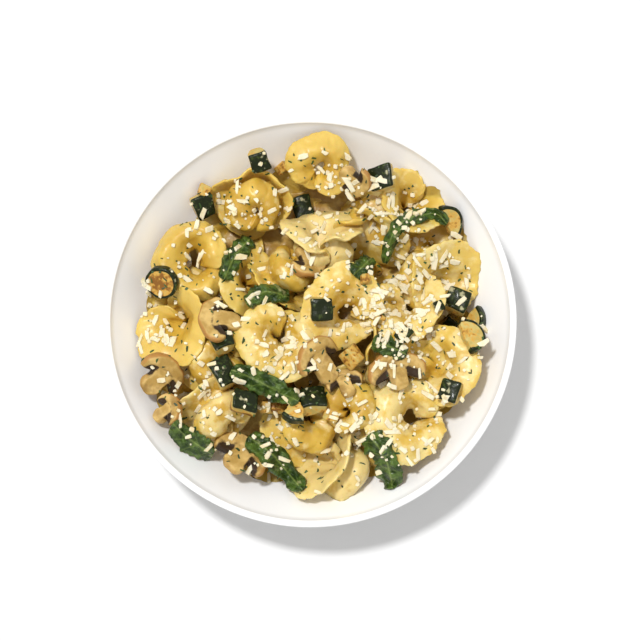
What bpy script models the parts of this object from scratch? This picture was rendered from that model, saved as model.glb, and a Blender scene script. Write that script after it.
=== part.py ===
"""A white pasta bowl heaped with tortellini, mushroom slices, courgette chunks and spinach.

Units are metres, +Z is up, and the origin is the middle of the bowl's foot, on the table.
Sizes and places are written in millimetres and turned into metres by MM.
The heap is built as a bowl is served: each piece is held over its own spot, in serving order,
and lowered until it rests on the bowl, the bed or the pieces served before it.
"""

import math
from dataclasses import dataclass

import bmesh
import bpy
from mathutils import Matrix, Vector, noise
from mathutils.bvhtree import BVHTree

MM = 0.001
UP = Vector((0.0, 0.0, 1.0))
FLATNESS = math.radians(0.05)  # a face bent by more than this is split
ORDER = Vector((1.0, 1.618, 2.718))  # points are sorted along this before they are welded

# The bowl: a coupe with a plain rounded rim and a short foot ring.
BOWL_RADIUS = 110.0
BOWL_HEIGHT = 50.0
RIM_THICKNESS = 3.8
FLOOR_LEVEL = 8.0
FLOOR_THICKNESS = 5.5
FLAT_FLOOR_RADIUS = 40.0
WALL_POWER = 2.5
OUTER_WALL_POWER = 1.8
FOOT_RADIUS = 56.0
FOOT_WIDTH = 5.0
BOWL_SEGMENTS = 42
WALL_STEPS = 5

# The bed: the pasta and cream that lie hidden under the pieces that show.
BED_RADIUS = 68.0
BED_REST_LEVEL = 17.0
BED_REST_FALL = 1.0
BED_RISE = 12.0
BED_THINNEST = 0.4
BED_RINGS = 5
BED_SPOKES = 22
BED_CLEARANCE = 0.8
BED_SAMPLES = 5

# Laying a piece down.
DROP_LEVEL = 200.0
RAY_PITCH = 1.7
GAP = 0.35
WELDS = (0.2, 0.1, 0.025, 0.0)  # tried in turn until the piece stays closed
SPIKE_LIMIT = 2.0
BOWL_CLEARANCE = 0.9
CROWN_LEVEL = 60.0
CROWN_FALL = 10.0
STEEPEST = 32.0

# One folded parcel of pasta, before its own size is applied.
PARCEL_WIDTH = 30.0
PARCEL_END_WIDTH = 9.0
WIDTH_ROUNDNESS = 0.55
POCKET_HALF_THICKNESS = 8.0
POCKET_FULLNESS = 0.8
END_HALF_THICKNESS = 3.4
END_FOLD_LOSS = 0.45
SHEET_HALF_THICKNESS = 1.0
FINGER_HOLE_RADIUS = 2.6
POCKET_PEAK = 0.23
POCKET_FALL = 0.41
CURL_START, CURL_END = 0.42, 0.80
BELLY_SHIFT = 3.5
DIMPLE = 2.4
DIMPLE_PITCH = 21.0
PARCEL_STATIONS = 11
PARCEL_STEPS = (0.0, 0.13, 0.38, 0.67, 1.0)
SPINE_STEPS = 24

# A mushroom slice and a courgette chunk.
SLICE_THICKNESS = 4.6
CAP_DOME = 0.78
STEM_SHARE = 0.32
SKIN_RADIUS = 19.0
WEDGE_TAPER = 0.72

# A wilted spinach leaf.
LEAF_THICKNESS = 1.6
LEAF_STATIONS = 6
LEAF_LANES = 3
LEAF_CLEARANCE = 1.0
LEAF_PROBES = 5
LEAF_HOLD = 0.3


def smooth_step(low, high, value):
    """0 below low, 1 above high, and an S curve between them."""
    share = min(1.0, max(0.0, (value - low) / (high - low)))
    return share * share * (3.0 - 2.0 * share)


def make_material(name, colour, roughness):
    """A plain Principled material."""
    material = bpy.data.materials.new(name)
    material.use_nodes = True
    shader = material.node_tree.nodes["Principled BSDF"]
    shader.inputs["Base Color"].default_value = (*colour, 1.0)
    shader.inputs["Roughness"].default_value = roughness
    return material


def make_object(name, points_mm, faces, material):
    """A mesh object in the scene from points in millimetres."""
    mesh = bpy.data.meshes.new(name)
    mesh.from_pydata([Vector(p) * MM for p in points_mm], [], faces)
    mesh.materials.append(material)
    shape = bmesh.new()
    shape.from_mesh(mesh)
    bmesh.ops.recalc_face_normals(shape, faces=shape.faces)
    bmesh.ops.connect_verts_nonplanar(shape, angle_limit=FLATNESS, faces=shape.faces)
    shape.to_mesh(mesh)
    shape.free()
    mesh.shade_smooth()
    mesh.set_sharp_from_angle(angle=math.radians(50))
    made = bpy.data.objects.new(name, mesh)
    bpy.context.scene.collection.objects.link(made)
    return made


def bridge(ring_count, ring_size, closed):
    """Quads between rings of points that follow each other, and back to the first ring if closed."""
    faces = []
    for i in range(ring_count if closed else ring_count - 1):
        j = (i + 1) % ring_count
        for k in range(ring_size):
            m = (k + 1) % ring_size
            faces.append((i * ring_size + k, i * ring_size + m, j * ring_size + m, j * ring_size + k))
    return faces


def grown_points(mesh, grow):
    """The mesh's points, moved out so that each face has moved by about grow."""
    shape = bmesh.new()
    shape.from_mesh(mesh)
    points = [v.co + v.normal * grow * min(v.calc_shell_factor(), SPIKE_LIMIT) for v in shape.verts]
    shape.free()
    return points


def world_tree(thing, grow=0.0):
    """The object's surface in the world, grown a little if asked, as a search tree."""
    points = [thing.matrix_world @ point for point in grown_points(thing.data, grow)]
    return BVHTree.FromPolygons(points, [tuple(p.vertices) for p in thing.data.polygons])


def world_box(thing):
    """Lowest and highest corner of the object in the world."""
    points = [thing.matrix_world @ v.co for v in thing.data.vertices]
    low = Vector([min(p[axis] for p in points) for axis in range(3)])
    high = Vector([max(p[axis] for p in points) for axis in range(3)])
    return low, high


# --- The bowl -------------------------------------------------------------------------------


def inside_level(radius):
    """Height of the bowl's inner surface at this distance from its middle."""
    inner_radius = BOWL_RADIUS - RIM_THICKNESS
    share = max(0.0, (radius - FLAT_FLOOR_RADIUS) / (inner_radius - FLAT_FLOOR_RADIUS))
    return FLOOR_LEVEL + (BOWL_HEIGHT - RIM_THICKNESS / 2 - FLOOR_LEVEL) * share**WALL_POWER


def bowl_profile():
    """(radius, height) points from the middle of the inside, over the rim, to the middle underneath."""
    inner_radius = BOWL_RADIUS - RIM_THICKNESS
    rim_level = BOWL_HEIGHT - RIM_THICKNESS / 2
    inside = [(FLAT_FLOOR_RADIUS * 0.6, FLOOR_LEVEL)]
    for step in range(WALL_STEPS + 1):
        radius = FLAT_FLOOR_RADIUS + (inner_radius - FLAT_FLOOR_RADIUS) * (step / WALL_STEPS) ** 0.8
        inside.append((radius, inside_level(radius)))
    rim = []
    for step in range(1, 4):
        angle = math.pi * step / 4
        rim.append(
            (
                BOWL_RADIUS - RIM_THICKNESS / 2 * (1 + math.cos(angle)),
                rim_level + RIM_THICKNESS / 2 * math.sin(angle),
            )
        )
    outside = []
    for step in range(WALL_STEPS):
        share = 1 - (step / WALL_STEPS) ** 1.1
        radius = FOOT_RADIUS + (BOWL_RADIUS - FOOT_RADIUS) * share
        drop = FLOOR_LEVEL - FLOOR_THICKNESS
        outside.append((radius, drop + (rim_level - drop) * share**OUTER_WALL_POWER))
    foot = [
        (FOOT_RADIUS, 0.0),
        (FOOT_RADIUS - FOOT_WIDTH, 0.0),
        (FOOT_RADIUS - FOOT_WIDTH - 1.0, FLOOR_LEVEL - FLOOR_THICKNESS),
    ]
    return inside + rim + outside + foot


def make_bowl(material):
    """The bowl, turned from its profile."""
    profile = bowl_profile()
    points = []
    for segment in range(BOWL_SEGMENTS):
        angle = 2 * math.pi * segment / BOWL_SEGMENTS
        points += [(r * math.cos(angle), r * math.sin(angle), z) for r, z in profile]
    size = len(profile)
    faces = [f for f in bridge(BOWL_SEGMENTS, size, True) if f[1] != f[0] - size + 1]
    faces.append([s * size for s in range(BOWL_SEGMENTS)])
    faces.append([s * size + size - 1 for s in reversed(range(BOWL_SEGMENTS))])
    return make_object("bowl", points, faces, material)


# --- The kinds of food ----------------------------------------------------------------------


@dataclass(frozen=True)
class Tortellino:
    """A half-moon parcel wrapped round a finger, its ends pinched together and its brim curled."""

    number: int
    place: tuple
    turn: tuple
    size: float
    brim_fold: float
    stretch: float = 1.0
    kind = "tortellino"
    sink = 4.0
    settles = False

    def section(self, angle):
        """Outline of the parcel at this angle round the finger, as (distance from axis, height)."""
        share = abs(angle) / math.pi
        width = PARCEL_END_WIDTH + (PARCEL_WIDTH - PARCEL_END_WIDTH) * (1 - share**2) ** WIDTH_ROUNDNESS
        fullness = (0.5 + 0.5 * math.cos(math.pi * share)) ** POCKET_FULLNESS
        thick = END_HALF_THICKNESS + (POCKET_HALF_THICKNESS - END_HALF_THICKNESS) * fullness
        fold = math.radians(self.brim_fold) * (1 - END_FOLD_LOSS * share**2)
        x, z = FINGER_HOLE_RADIUS + 0.95 * thick, -width * POCKET_PEAK
        inner, outer = [], []
        step_size = 1 / SPINE_STEPS
        for step in range(SPINE_STEPS + 1):
            along = step * step_size
            heading = math.pi / 2 - fold * smooth_step(CURL_START, CURL_END, along)
            if min(abs(along - s) for s in PARCEL_STEPS) < step_size / 2:
                half = self.half_thickness(along, thick)
                side = Vector((-math.sin(heading), math.cos(heading))) * half
                inner.append((x + side.x, z + side.y))
                outer.append((x - side.x, z - side.y))
            x += math.cos(heading) * width * step_size
            z += math.sin(heading) * width * step_size
        return inner + outer[:0:-1]

    @staticmethod
    def half_thickness(along, thick):
        """Half of the parcel's thickness from its fold, at 0, to its cut edge, at 1."""
        if along < POCKET_PEAK:
            return thick * math.sqrt(max(0.0, 1 - ((along - POCKET_PEAK) / POCKET_PEAK) ** 2))
        fall = min(1.0, (along - POCKET_PEAK) / POCKET_FALL)
        swell = 0.5 + 0.5 * math.cos(math.pi * fall)
        return SHEET_HALF_THICKNESS + (thick - SHEET_HALF_THICKNESS) * swell

    def build(self, material):
        """The parcel about its own middle."""
        points = []
        for station in range(PARCEL_STATIONS):
            angle = -math.pi + 2 * math.pi * station / PARCEL_STATIONS
            loop = self.section(angle)
            for r, z in loop:
                point = Vector((r * math.cos(angle) - BELLY_SHIFT, r * math.sin(angle) * self.stretch, z))
                points.append((point + dimple(point, self.number) * DIMPLE) * self.size)
        faces = bridge(PARCEL_STATIONS, len(loop), True)
        return make_object(f"{self.kind}_{self.number:02d}", points, faces, material)


def dimple(point, number):
    """A smooth push in some direction, from -1 to 1 each way, that differs from piece to piece."""
    spot = point / DIMPLE_PITCH + Vector((number * 7.3, 0, 0))
    return Vector([noise.noise(spot + Vector((0, 0, 31.7 * axis))) for axis in range(3)])


def slab(name, outline, low, high, material):
    """A flat piece: the outline from z = low to z = high."""
    count = len(outline)
    points = [(x, y, low) for x, y in outline] + [(x, y, high) for x, y in outline]
    faces = [tuple(reversed(range(count))), tuple(range(count, 2 * count))]
    faces += [(k, (k + 1) % count, count + (k + 1) % count, count + k) for k in range(count)]
    return make_object(name, points, faces, material)


@dataclass(frozen=True)
class MushroomSlice:
    """A slice down through a button mushroom: cap, curled lips and stem, the stem along -Y."""

    number: int
    place: tuple
    turn: tuple
    cap_width: float
    stem_length: float
    kind = "mushroom"
    sink = 1.0
    settles = True

    def build(self, material):
        """The slice about the middle of its cap."""
        half = self.cap_width / 2
        stem = half * STEM_SHARE
        angles = [math.radians(degrees) for degrees in range(0, 181, 20)]
        dome = [(half * math.cos(angle), half * CAP_DOME * math.sin(angle)) for angle in angles]
        left = [
            (-half * 0.93, -half * 0.20),
            (-half * 0.70, -half * 0.22),
            (-stem, -half * 0.04),
            (-stem * 1.1, -self.stem_length),
            (0.0, -self.stem_length - stem * 0.4),
        ]
        right = [(-x, y) for x, y in reversed(left[:-1])]
        name = f"{self.kind}_{self.number:02d}"
        return slab(name, dome + left + right, -SLICE_THICKNESS / 2, SLICE_THICKNESS / 2, material)


@dataclass(frozen=True)
class CourgetteDice:
    """A chunk from a quartered courgette: its skin, slightly round, faces +Z."""

    number: int
    place: tuple
    turn: tuple
    across: float
    along: float
    deep: float
    kind = "courgette"
    sink = 1.5
    settles = True

    def build(self, material):
        """The chunk about its own middle."""
        half_angle = math.asin(self.across / 2 / SKIN_RADIUS)
        skin = []
        for step in range(4):
            angle = half_angle * (1 - 2 * step / 3)
            level = self.deep / 2 - SKIN_RADIUS * (1 - math.cos(angle))
            skin.append((SKIN_RADIUS * math.sin(angle), level))
        base = self.across / 2 * WEDGE_TAPER
        outline = [*skin, (-base, -self.deep / 2), (base, -self.deep / 2)]
        name = f"{self.kind}_{self.number:02d}"
        made = slab(name, outline, -self.along / 2, self.along / 2, material)
        made.data.transform(Matrix.Rotation(math.radians(90), 4, "X"))
        return made


@dataclass(frozen=True)
class CourgetteSlice:
    """A flat slice of courgette, a sector of a round, with its skin along the arc towards +Y."""

    number: int
    place: tuple
    turn: tuple
    radius: float
    sweep: float
    thickness: float
    kind = "courgette"
    sink = 1.5
    settles = True

    def build(self, material):
        """The slice about the middle of its area."""
        half = math.radians(self.sweep) / 2
        lift = self.radius * 0.5 if self.sweep < 360 else 0.0
        angles = [half * (1 - step / 4) for step in range(9 if self.sweep < 360 else 8)]
        outline = [(self.radius * math.sin(a), self.radius * math.cos(a) - lift) for a in angles]
        if self.sweep < 180:
            outline.append((0.0, -lift))
        name = f"{self.kind}_{self.number:02d}"
        return slab(name, outline, -self.thickness / 2, self.thickness / 2, material)


@dataclass(frozen=True)
class SpinachLeaf:
    """A wilted leaf that lies along a path over whatever is under it."""

    number: int
    path: tuple
    width: float
    kind = "spinach"

    def spot(self, along, across):
        """Where a point of the leaf lies in plan: along from 0 to 1, across from -1 to 1."""
        spans = len(self.path) - 1
        span = min(spans - 1, int(along * spans))
        t = along * spans - span
        nodes = [Vector(self.path[min(max(span + k, 0), spans)]) for k in (-1, 0, 1, 2)]
        here = spline(nodes, t)
        heading = (spline(nodes, t + 0.05) - spline(nodes, t - 0.05)).normalized()
        breadth = self.width / 2 * (0.45 + 0.55 * math.sin(math.pi * min(1.0, 0.12 + along * 0.85)) ** 0.7)
        side = Vector((-heading.y, heading.x))
        return here + side * (breadth * across)


def spline(nodes, t):
    """A point on the smooth curve through the middle two of four nodes."""
    before, start, end, after = nodes
    return 0.5 * (
        2 * start
        + (end - before) * t
        + (2 * before - 5 * start + 4 * end - after) * t**2
        + (3 * start - before - 3 * end + after) * t**3
    )


# --- Serving --------------------------------------------------------------------------------


def facing_up(turn):
    """Rotation for (heading, lean, side): leans the side's direction up by lean, then heads it."""
    heading, lean, side = [math.radians(angle) for angle in turn]
    leaning = Matrix.Rotation(-lean, 3, "Y") @ Matrix.Rotation(-side, 3, "Z")
    return (Matrix.Rotation(heading, 3, "Z") @ leaning).to_quaternion()


class Heap:
    """What is already in the bowl, and how the next piece comes to rest on it."""

    def __init__(self, bowl):
        self.bowl = bowl
        self.served = []
        self.trees = []

    def add(self, thing):
        """Counts the piece as lying where it is."""
        bpy.context.view_layer.update()
        self.served.append(thing)
        self.trees.append((world_tree(thing), *world_box(thing)))

    def level_at(self, x, y):
        """Height in metres of the highest piece here, or None where no piece lies."""
        best = None
        for tree, low, high in self.trees:
            if low.x <= x <= high.x and low.y <= y <= high.y:
                hit = tree.ray_cast(Vector((x, y, DROP_LEVEL * MM)), -UP)[0]
                if hit is not None and (best is None or hit.z > best):
                    best = hit.z
        return best

    def lay(self, thing, item):
        """Lowers the piece over its place until it rests, trims what presses in, and serves it."""
        turn = facing_up(item.turn)
        if item.settles:
            turn = UP.rotation_difference(self.slope(thing, item.place)) @ turn
        thing.rotation_mode = "QUATERNION"
        thing.rotation_quaternion = turn
        thing.location = (item.place[0] * MM, item.place[1] * MM, DROP_LEVEL / 2 * MM)
        bpy.context.view_layer.update()
        low, high = world_box(thing)
        thing.location -= Vector((*((low + high) / 2).xy, 0)) - Vector((*item.place, 0)) * MM
        bpy.context.view_layer.update()
        own = world_tree(thing)
        low, high = world_box(thing)
        fall = math.inf
        pitch_m = RAY_PITCH * MM
        for i in range(int((high.x - low.x) / pitch_m) + 1):
            for j in range(int((high.y - low.y) / pitch_m) + 1):
                x, y = low.x + i * pitch_m, low.y + j * pitch_m
                under = own.ray_cast(Vector((x, y, 0.0)), UP)[0]
                if under is None:
                    continue
                radius = math.hypot(x, y) / MM
                fall = min(fall, under.z - (inside_level(radius) + BOWL_CLEARANCE) * MM)
                fall = min(fall, under.z - bed_rest_level(radius) * MM)
                level = self.level_at(x, y)
                if level is not None:
                    fall = min(fall, under.z - level + item.sink * MM)
        thing.location.z -= fall
        if not item.settles:
            too_high = high.z - fall - crown_level(math.hypot(*item.place)) * MM
            thing.location.z -= max(0.0, too_high)
        self.trim(thing)
        self.add(thing)

    def slope(self, thing, place):
        """Upward direction square to the top of the heap under the piece, no steeper than the limit."""
        low, high = world_box(thing)
        reach = (high - low).xy.length / 5
        x, y = place[0] * MM, place[1] * MM
        rise_x = self.support(x + reach, y) - self.support(x - reach, y)
        rise_y = self.support(x, y + reach) - self.support(x, y - reach)
        lean = Vector((-rise_x, -rise_y)) / (2 * reach)
        steepest = math.tan(math.radians(STEEPEST))
        if lean.length > steepest:
            lean *= steepest / lean.length
        return Vector((lean.x, lean.y, 1.0)).normalized()

    def drape(self, leaf, material):
        """Lays a leaf over the heap: each of its points clears everything beneath its own part."""
        spots = {
            (i, j): leaf.spot(i / (LEAF_STATIONS - 1), 2 * j / (LEAF_LANES - 1) - 1) * MM
            for i in range(LEAF_STATIONS)
            for j in range(LEAF_LANES)
        }
        levels = {key: self.support(*spot) for key, spot in spots.items()}
        shares = [step / LEAF_PROBES for step in range(LEAF_PROBES + 1)]
        for i in range(LEAF_STATIONS - 1):
            for j in range(LEAF_LANES - 1):
                for a in shares:
                    for b in shares:
                        weights = {
                            (i, j): (1 - a) * (1 - b),
                            (i + 1, j): a * (1 - b),
                            (i, j + 1): (1 - a) * b,
                            (i + 1, j + 1): a * b,
                        }
                        shares_of = [spots[key] * weight for key, weight in weights.items()]
                        level = self.support(*sum(shares_of, Vector((0, 0))))
                        for key, weight in weights.items():
                            if weight >= LEAF_HOLD:
                                levels[key] = max(levels[key], level)
        bottom = [(*(spots[key] / MM), level / MM + LEAF_CLEARANCE) for key, level in levels.items()]
        top = [(x, y, z + LEAF_THICKNESS) for x, y, z in bottom]
        made = make_object(f"{leaf.kind}_{leaf.number:02d}", bottom + top, leaf_faces(), material)
        self.trim(made)
        self.add(made)

    def support(self, x, y):
        """Height in metres of whatever a leaf would lie on here."""
        radius = math.hypot(x, y) / MM
        ground = max(inside_level(radius), bed_rest_level(radius)) * MM
        return max(ground, self.level_at(x, y) or 0.0)

    def trim(self, thing):
        """Cuts away what of the piece lies in another, with a gap left round it.

        Welding moves a cut face a little, so a second round cuts again, unwelded, whatever still
        touches.
        """
        bpy.context.view_layer.update()
        own = world_tree(thing)
        for grow, welds in ((GAP * MM, WELDS), (0.0, (0.0,))):
            for other in [*self.served, self.bowl]:
                if own.overlap(world_tree(other, grow)):
                    cut(thing, other, welds)
                    own = world_tree(thing)


def cut(thing, other, welds):
    """Takes the other piece, grown by the gap, away from this one."""
    cutter_mesh = other.data.copy()
    for vertex, point in zip(cutter_mesh.vertices, grown_points(other.data, GAP * MM)):
        vertex.co = point
    cutter = bpy.data.objects.new("cutter", cutter_mesh)
    cutter.matrix_world = other.matrix_world
    bpy.context.scene.collection.objects.link(cutter)
    boolean = thing.modifiers.new("contact", "BOOLEAN")
    boolean.operation = "DIFFERENCE"
    boolean.solver = "MANIFOLD"
    boolean.object = cutter
    bpy.context.view_layer.update()
    graph = bpy.context.evaluated_depsgraph_get()
    result = bpy.data.meshes.new_from_object(thing.evaluated_get(graph))
    thing.modifiers.clear()
    thing.data = result
    bpy.data.objects.remove(cutter)
    keep_largest(thing, welds)


def keep_largest(thing, welds):
    """Drops crumbs that a cut has left, and welds its short edges where that leaves it closed."""
    for reach in welds:
        shape = bmesh.new()
        shape.from_mesh(thing.data)
        shape.verts.sort(key=lambda vertex: vertex.co.dot(ORDER))
        shape.faces.sort(key=lambda face: face.calc_center_median().dot(ORDER))
        bmesh.ops.remove_doubles(shape, verts=shape.verts, dist=reach * MM)
        if reach == 0.0 or all(edge.is_manifold for edge in shape.edges):
            break
        shape.free()
    left = set(shape.faces)
    islands = []
    while left:
        stack = [left.pop()]
        island = list(stack)
        while stack:
            for edge in stack.pop().edges:
                for face in edge.link_faces:
                    if face in left:
                        left.remove(face)
                        stack.append(face)
                        island.append(face)
        islands.append(island)
    islands.sort(key=len)
    for island in islands[:-1]:
        bmesh.ops.delete(shape, geom=island, context="FACES")
    shape.to_mesh(thing.data)
    shape.free()


def leaf_faces():
    """Quads of a leaf's underside, upper side and edge, for two grids of points."""
    count = LEAF_STATIONS * LEAF_LANES
    faces = []
    for i in range(LEAF_STATIONS - 1):
        for j in range(LEAF_LANES - 1):
            a = i * LEAF_LANES + j
            quad = (a, a + 1, a + LEAF_LANES + 1, a + LEAF_LANES)
            faces.append(tuple(reversed(quad)))
            faces.append(tuple(k + count for k in quad))
    edge = [i * LEAF_LANES for i in range(LEAF_STATIONS)]
    edge += [(LEAF_STATIONS - 1) * LEAF_LANES + j for j in range(1, LEAF_LANES)]
    edge += [i * LEAF_LANES + LEAF_LANES - 1 for i in reversed(range(LEAF_STATIONS - 1))]
    edge += [j for j in reversed(range(1, LEAF_LANES - 1))]
    for a, b in zip(edge, edge[1:] + edge[:1]):
        faces.append((a, b, b + count, a + count))
    return faces


def crown_level(radius):
    """How high the heap may stand at this distance from the bowl's middle."""
    return CROWN_LEVEL - CROWN_FALL * (radius / BOWL_RADIUS) ** 2


# --- The bed --------------------------------------------------------------------------------


def bed_rest_level(radius):
    """Height at which pieces come to rest on the bed."""
    return BED_REST_LEVEL - BED_REST_FALL * (radius / BED_RADIUS) ** 2


def make_bed(heap, material):
    """The bed: a cushion of pasta and cream that fills the bowl up to the undersides of the pieces."""
    bowl = world_tree(heap.bowl)
    fine_rings, fine_spokes = (BED_RINGS + 1) * BED_SAMPLES, BED_SPOKES * BED_SAMPLES

    def spot(ring, spoke, rings, spokes):
        """Plan position on the bed's web of rings and spokes."""
        radius, angle = BED_RADIUS * ring / rings, 2 * math.pi * spoke / spokes
        return radius * math.cos(angle), radius * math.sin(angle)

    def ceiling(x, y):
        """Height of the lowest piece over this spot, or the bed's own crown."""
        level = bed_rest_level(math.hypot(x, y)) + BED_RISE
        for tree, low, high in heap.trees:
            if low.x <= x * MM <= high.x and low.y <= y * MM <= high.y:
                hit = tree.ray_cast(Vector((x, y, 0)) * MM, UP)[0]
                if hit is not None:
                    level = min(level, hit.z / MM - BED_CLEARANCE)
        return level

    ceilings = [
        [ceiling(*spot(ring, spoke, BED_RINGS * BED_SAMPLES, fine_spokes)) for spoke in range(fine_spokes)]
        for ring in range(fine_rings)
    ]

    for thing in heap.served:
        for corner in thing.data.vertices:
            x, y, z = thing.matrix_world @ corner.co / MM
            ring = round(math.hypot(x, y) / BED_RADIUS * BED_RINGS * BED_SAMPLES)
            spoke = round(math.atan2(y, x) / (2 * math.pi) * fine_spokes) % fine_spokes
            if ring < fine_rings:
                ceilings[ring][spoke] = min(ceilings[ring][spoke], z - BED_CLEARANCE)

    def top_at(ring, spoke):
        """The lowest ceiling round this crossing, so that the bed passes under everything."""
        near_rings = range(max(0, (ring - 1) * BED_SAMPLES), (ring + 1) * BED_SAMPLES)
        near_spokes = range((spoke - 1) * BED_SAMPLES, (spoke + 1) * BED_SAMPLES + 1)
        return min(ceilings[a][b % fine_spokes] for a in near_rings for b in near_spokes)

    points_top, points_bottom = [], []
    for ring in range(1, BED_RINGS + 1):
        for spoke in range(BED_SPOKES):
            x, y = spot(ring, spoke, BED_RINGS, BED_SPOKES)
            bottom = bowl.ray_cast(Vector((x, y, DROP_LEVEL)) * MM, -UP)[0].z / MM + GAP
            points_bottom.append((x, y, bottom))
            points_top.append((x, y, max(bottom + BED_THINNEST, top_at(ring, spoke))))
    crown = min(top_at(0, spoke) for spoke in range(BED_SPOKES))
    count = BED_RINGS * BED_SPOKES
    centre_bottom, centre_top = 2 * count, 2 * count + 1
    points = points_bottom + points_top + [(0, 0, FLOOR_LEVEL + GAP), (0, 0, crown)]
    faces = []
    for k in range(BED_SPOKES):
        m = (k + 1) % BED_SPOKES
        faces.append((centre_bottom, m, k))
        faces.append((centre_top, count + k, count + m))
        for ring in range(BED_RINGS - 1):
            a, b = ring * BED_SPOKES + k, ring * BED_SPOKES + m
            faces.append((a, b, b + BED_SPOKES, a + BED_SPOKES))
            faces.append((count + a, count + a + BED_SPOKES, count + b + BED_SPOKES, count + b))
        a, b = count - BED_SPOKES + k, count - BED_SPOKES + m
        faces.append((a, b, b + count, a + count))
    return make_object("pasta_bed", points, faces, material)


# --- What is served, in serving order. Places are (x, y); turns are (heading, lean, side). ----

SERVED = (
    Tortellino(11, (-33, 23), (200, 35, 0), 1.00, 95),
    Tortellino(13, (-54, -19), (-60, 140, 90), 1.00, 80),
    Tortellino(18, (-6, -57), (10, 150, 90), 1.10, 90),
    Tortellino(19, (22, -44), (-150, 170, 20), 1.05, 110),
    Tortellino(21, (60, -28), (70, 25, 40), 1.05, 70),
    Tortellino(22, (-15, 24), (45, 120, 35), 1.00, 100),
    Tortellino(20, (43, -12), (-15, 110, 10), 1.05, 110),
    MushroomSlice(8, (-1, 32), (200, 0, 0), 22, 9),
    MushroomSlice(6, (18, -34), (20, 0, 0), 20, 8),
    CourgetteDice(3, (-4, 63), (15, 0, 0), 11, 15, 8),
    CourgetteDice(18, (-47, -12), (30, 0, 0), 12, 10, 9),
    CourgetteDice(13, (1, -43), (10, 0, 0), 16, 13, 9),
    CourgetteDice(15, (-18, -43), (-10, 180, 0), 13, 11, 8),
    Tortellino(9, (51, 8), (-60, 25, 0), 1.08, 100),
    Tortellino(5, (33, 50), (70, 60, 135), 1.10, 90),
    Tortellino(6, (54, 64), (-135, 25, 0), 1.10, 60),
    Tortellino(1, (5, 84), (90, 25, 0), 1.05, 115),
    Tortellino(2, (-31, 63), (-100, 125, 30), 1.14, 80),
    Tortellino(3, (-65, 33), (180, 0, 0), 1.14, 130),
    Tortellino(12, (-74, -3), (0, 45, 60), 1.12, 80),
    Tortellino(14, (-52, -45), (-60, 125, 20), 1.10, 90),
    Tortellino(4, (6, 45), (-90, 60, 180), 1.12, 95),
    Tortellino(7, (69, 23), (160, 35, 60), 1.20, 75),
    Tortellino(8, (17, 8), (160, 10, 0), 1.20, 115),
    Tortellino(10, (-17, -12), (-95, 15, 0), 1.14, 100),
    Tortellino(17, (76, -24), (-10, 15, 0), 1.05, 105),
    Tortellino(16, (52, -56), (200, 8, 0), 1.20, 110),
    Tortellino(15, (12, -75), (-25, 60, 60), 1.15, 75),
    MushroomSlice(9, (-76, -47), (-60, 0, 0), 20, 8),
    MushroomSlice(1, (-79, -28), (-45, 0, 0), 28, 11),
    MushroomSlice(2, (-48, 0), (90, 0, 0), 27, 11),
    MushroomSlice(3, (4, -22), (15, 0, 0), 27, 13),
    MushroomSlice(4, (46, -29), (10, 0, 0), 32, 10),
    MushroomSlice(5, (-37, -72), (-20, 0, 0), 31, 11),
    CourgetteDice(1, (-26, 86), (20, 0, 0), 13, 13, 9),
    CourgetteDice(2, (-58, 64), (25, 0, 0), 14, 10, 9),
    CourgetteDice(4, (38, 76), (10, 0, 0), 14, 13, 10),
    MushroomSlice(7, (25, 74), (40, 20, 180), 24, 10),
    CourgetteSlice(5, (75, 54), (-60, 0, 0), 10, 170, 4.5),
    CourgetteSlice(6, (-79, 21), (0, 0, 0), 9.5, 360, 5.0),
    CourgetteDice(7, (6, 5), (5, 0, 0), 12, 12, 11),
    CourgetteDice(8, (79, 12), (-20, 0, 0), 13, 12, 9),
    CourgetteSlice(9, (89, 3), (-80, 0, 0), 12, 70, 5.0),
    CourgetteSlice(10, (86, -9), (-75, 0, 0), 10, 200, 4.5),
    CourgetteDice(11, (-46, -28), (30, 0, 0), 13, 16, 9),
    CourgetteDice(12, (-35, -44), (-5, 0, 0), 15, 12, 10),
    CourgetteDice(14, (22, -20), (40, 45, 0), 10, 10, 10),
    CourgetteDice(16, (75, -38), (-20, 0, 0), 12, 14, 8),
    CourgetteSlice(17, (-9, -50), (160, 0, 0), 13, 60, 6.0),
    SpinachLeaf(1, ((40, 32), (44, 46), (53, 55), (66, 58), (74, 52), (73, 45)), 8),
    SpinachLeaf(2, ((-34, 9), (-24, 15), (-11, 13)), 9),
    SpinachLeaf(3, ((-42, -27), (-29, -32), (-16, -39), (-6, -44)), 13),
    SpinachLeaf(4, ((-77, -52), (-66, -64), (-52, -73)), 16),
    SpinachLeaf(5, ((-31, -60), (-16, -71), (0, -89)), 14),
    SpinachLeaf(6, ((31, -61), (40, -74), (44, -89)), 13),
    SpinachLeaf(7, ((-32, 46), (-40, 36), (-46, 22)), 12),
    SpinachLeaf(8, ((33, -12), (43, -15), (51, -19)), 9),
    SpinachLeaf(9, ((23, 24), (28, 29), (33, 35)), 9),
)


def main():
    """Clears the scene and serves the bowl."""
    for thing in list(bpy.data.objects):
        bpy.data.objects.remove(thing)
    pasta = make_material("pasta", (0.86, 0.62, 0.19), 0.35)
    cream = make_material("cream", (0.80, 0.58, 0.26), 0.45)
    ceramic = make_material("ceramic", (0.93, 0.93, 0.91), 0.12)
    looks = {
        "tortellino": pasta,
        "mushroom": make_material("mushroom", (0.56, 0.40, 0.22), 0.45),
        "courgette": make_material("courgette", (0.06, 0.09, 0.03), 0.30),
        "spinach": make_material("spinach", (0.05, 0.14, 0.03), 0.35),
    }
    heap = Heap(make_bowl(ceramic))
    for item in SERVED:
        if item.kind == "spinach":
            heap.drape(item, looks["spinach"])
        else:
            heap.lay(item.build(looks[item.kind]), item)
    make_bed(heap, cream)


main()
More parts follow.
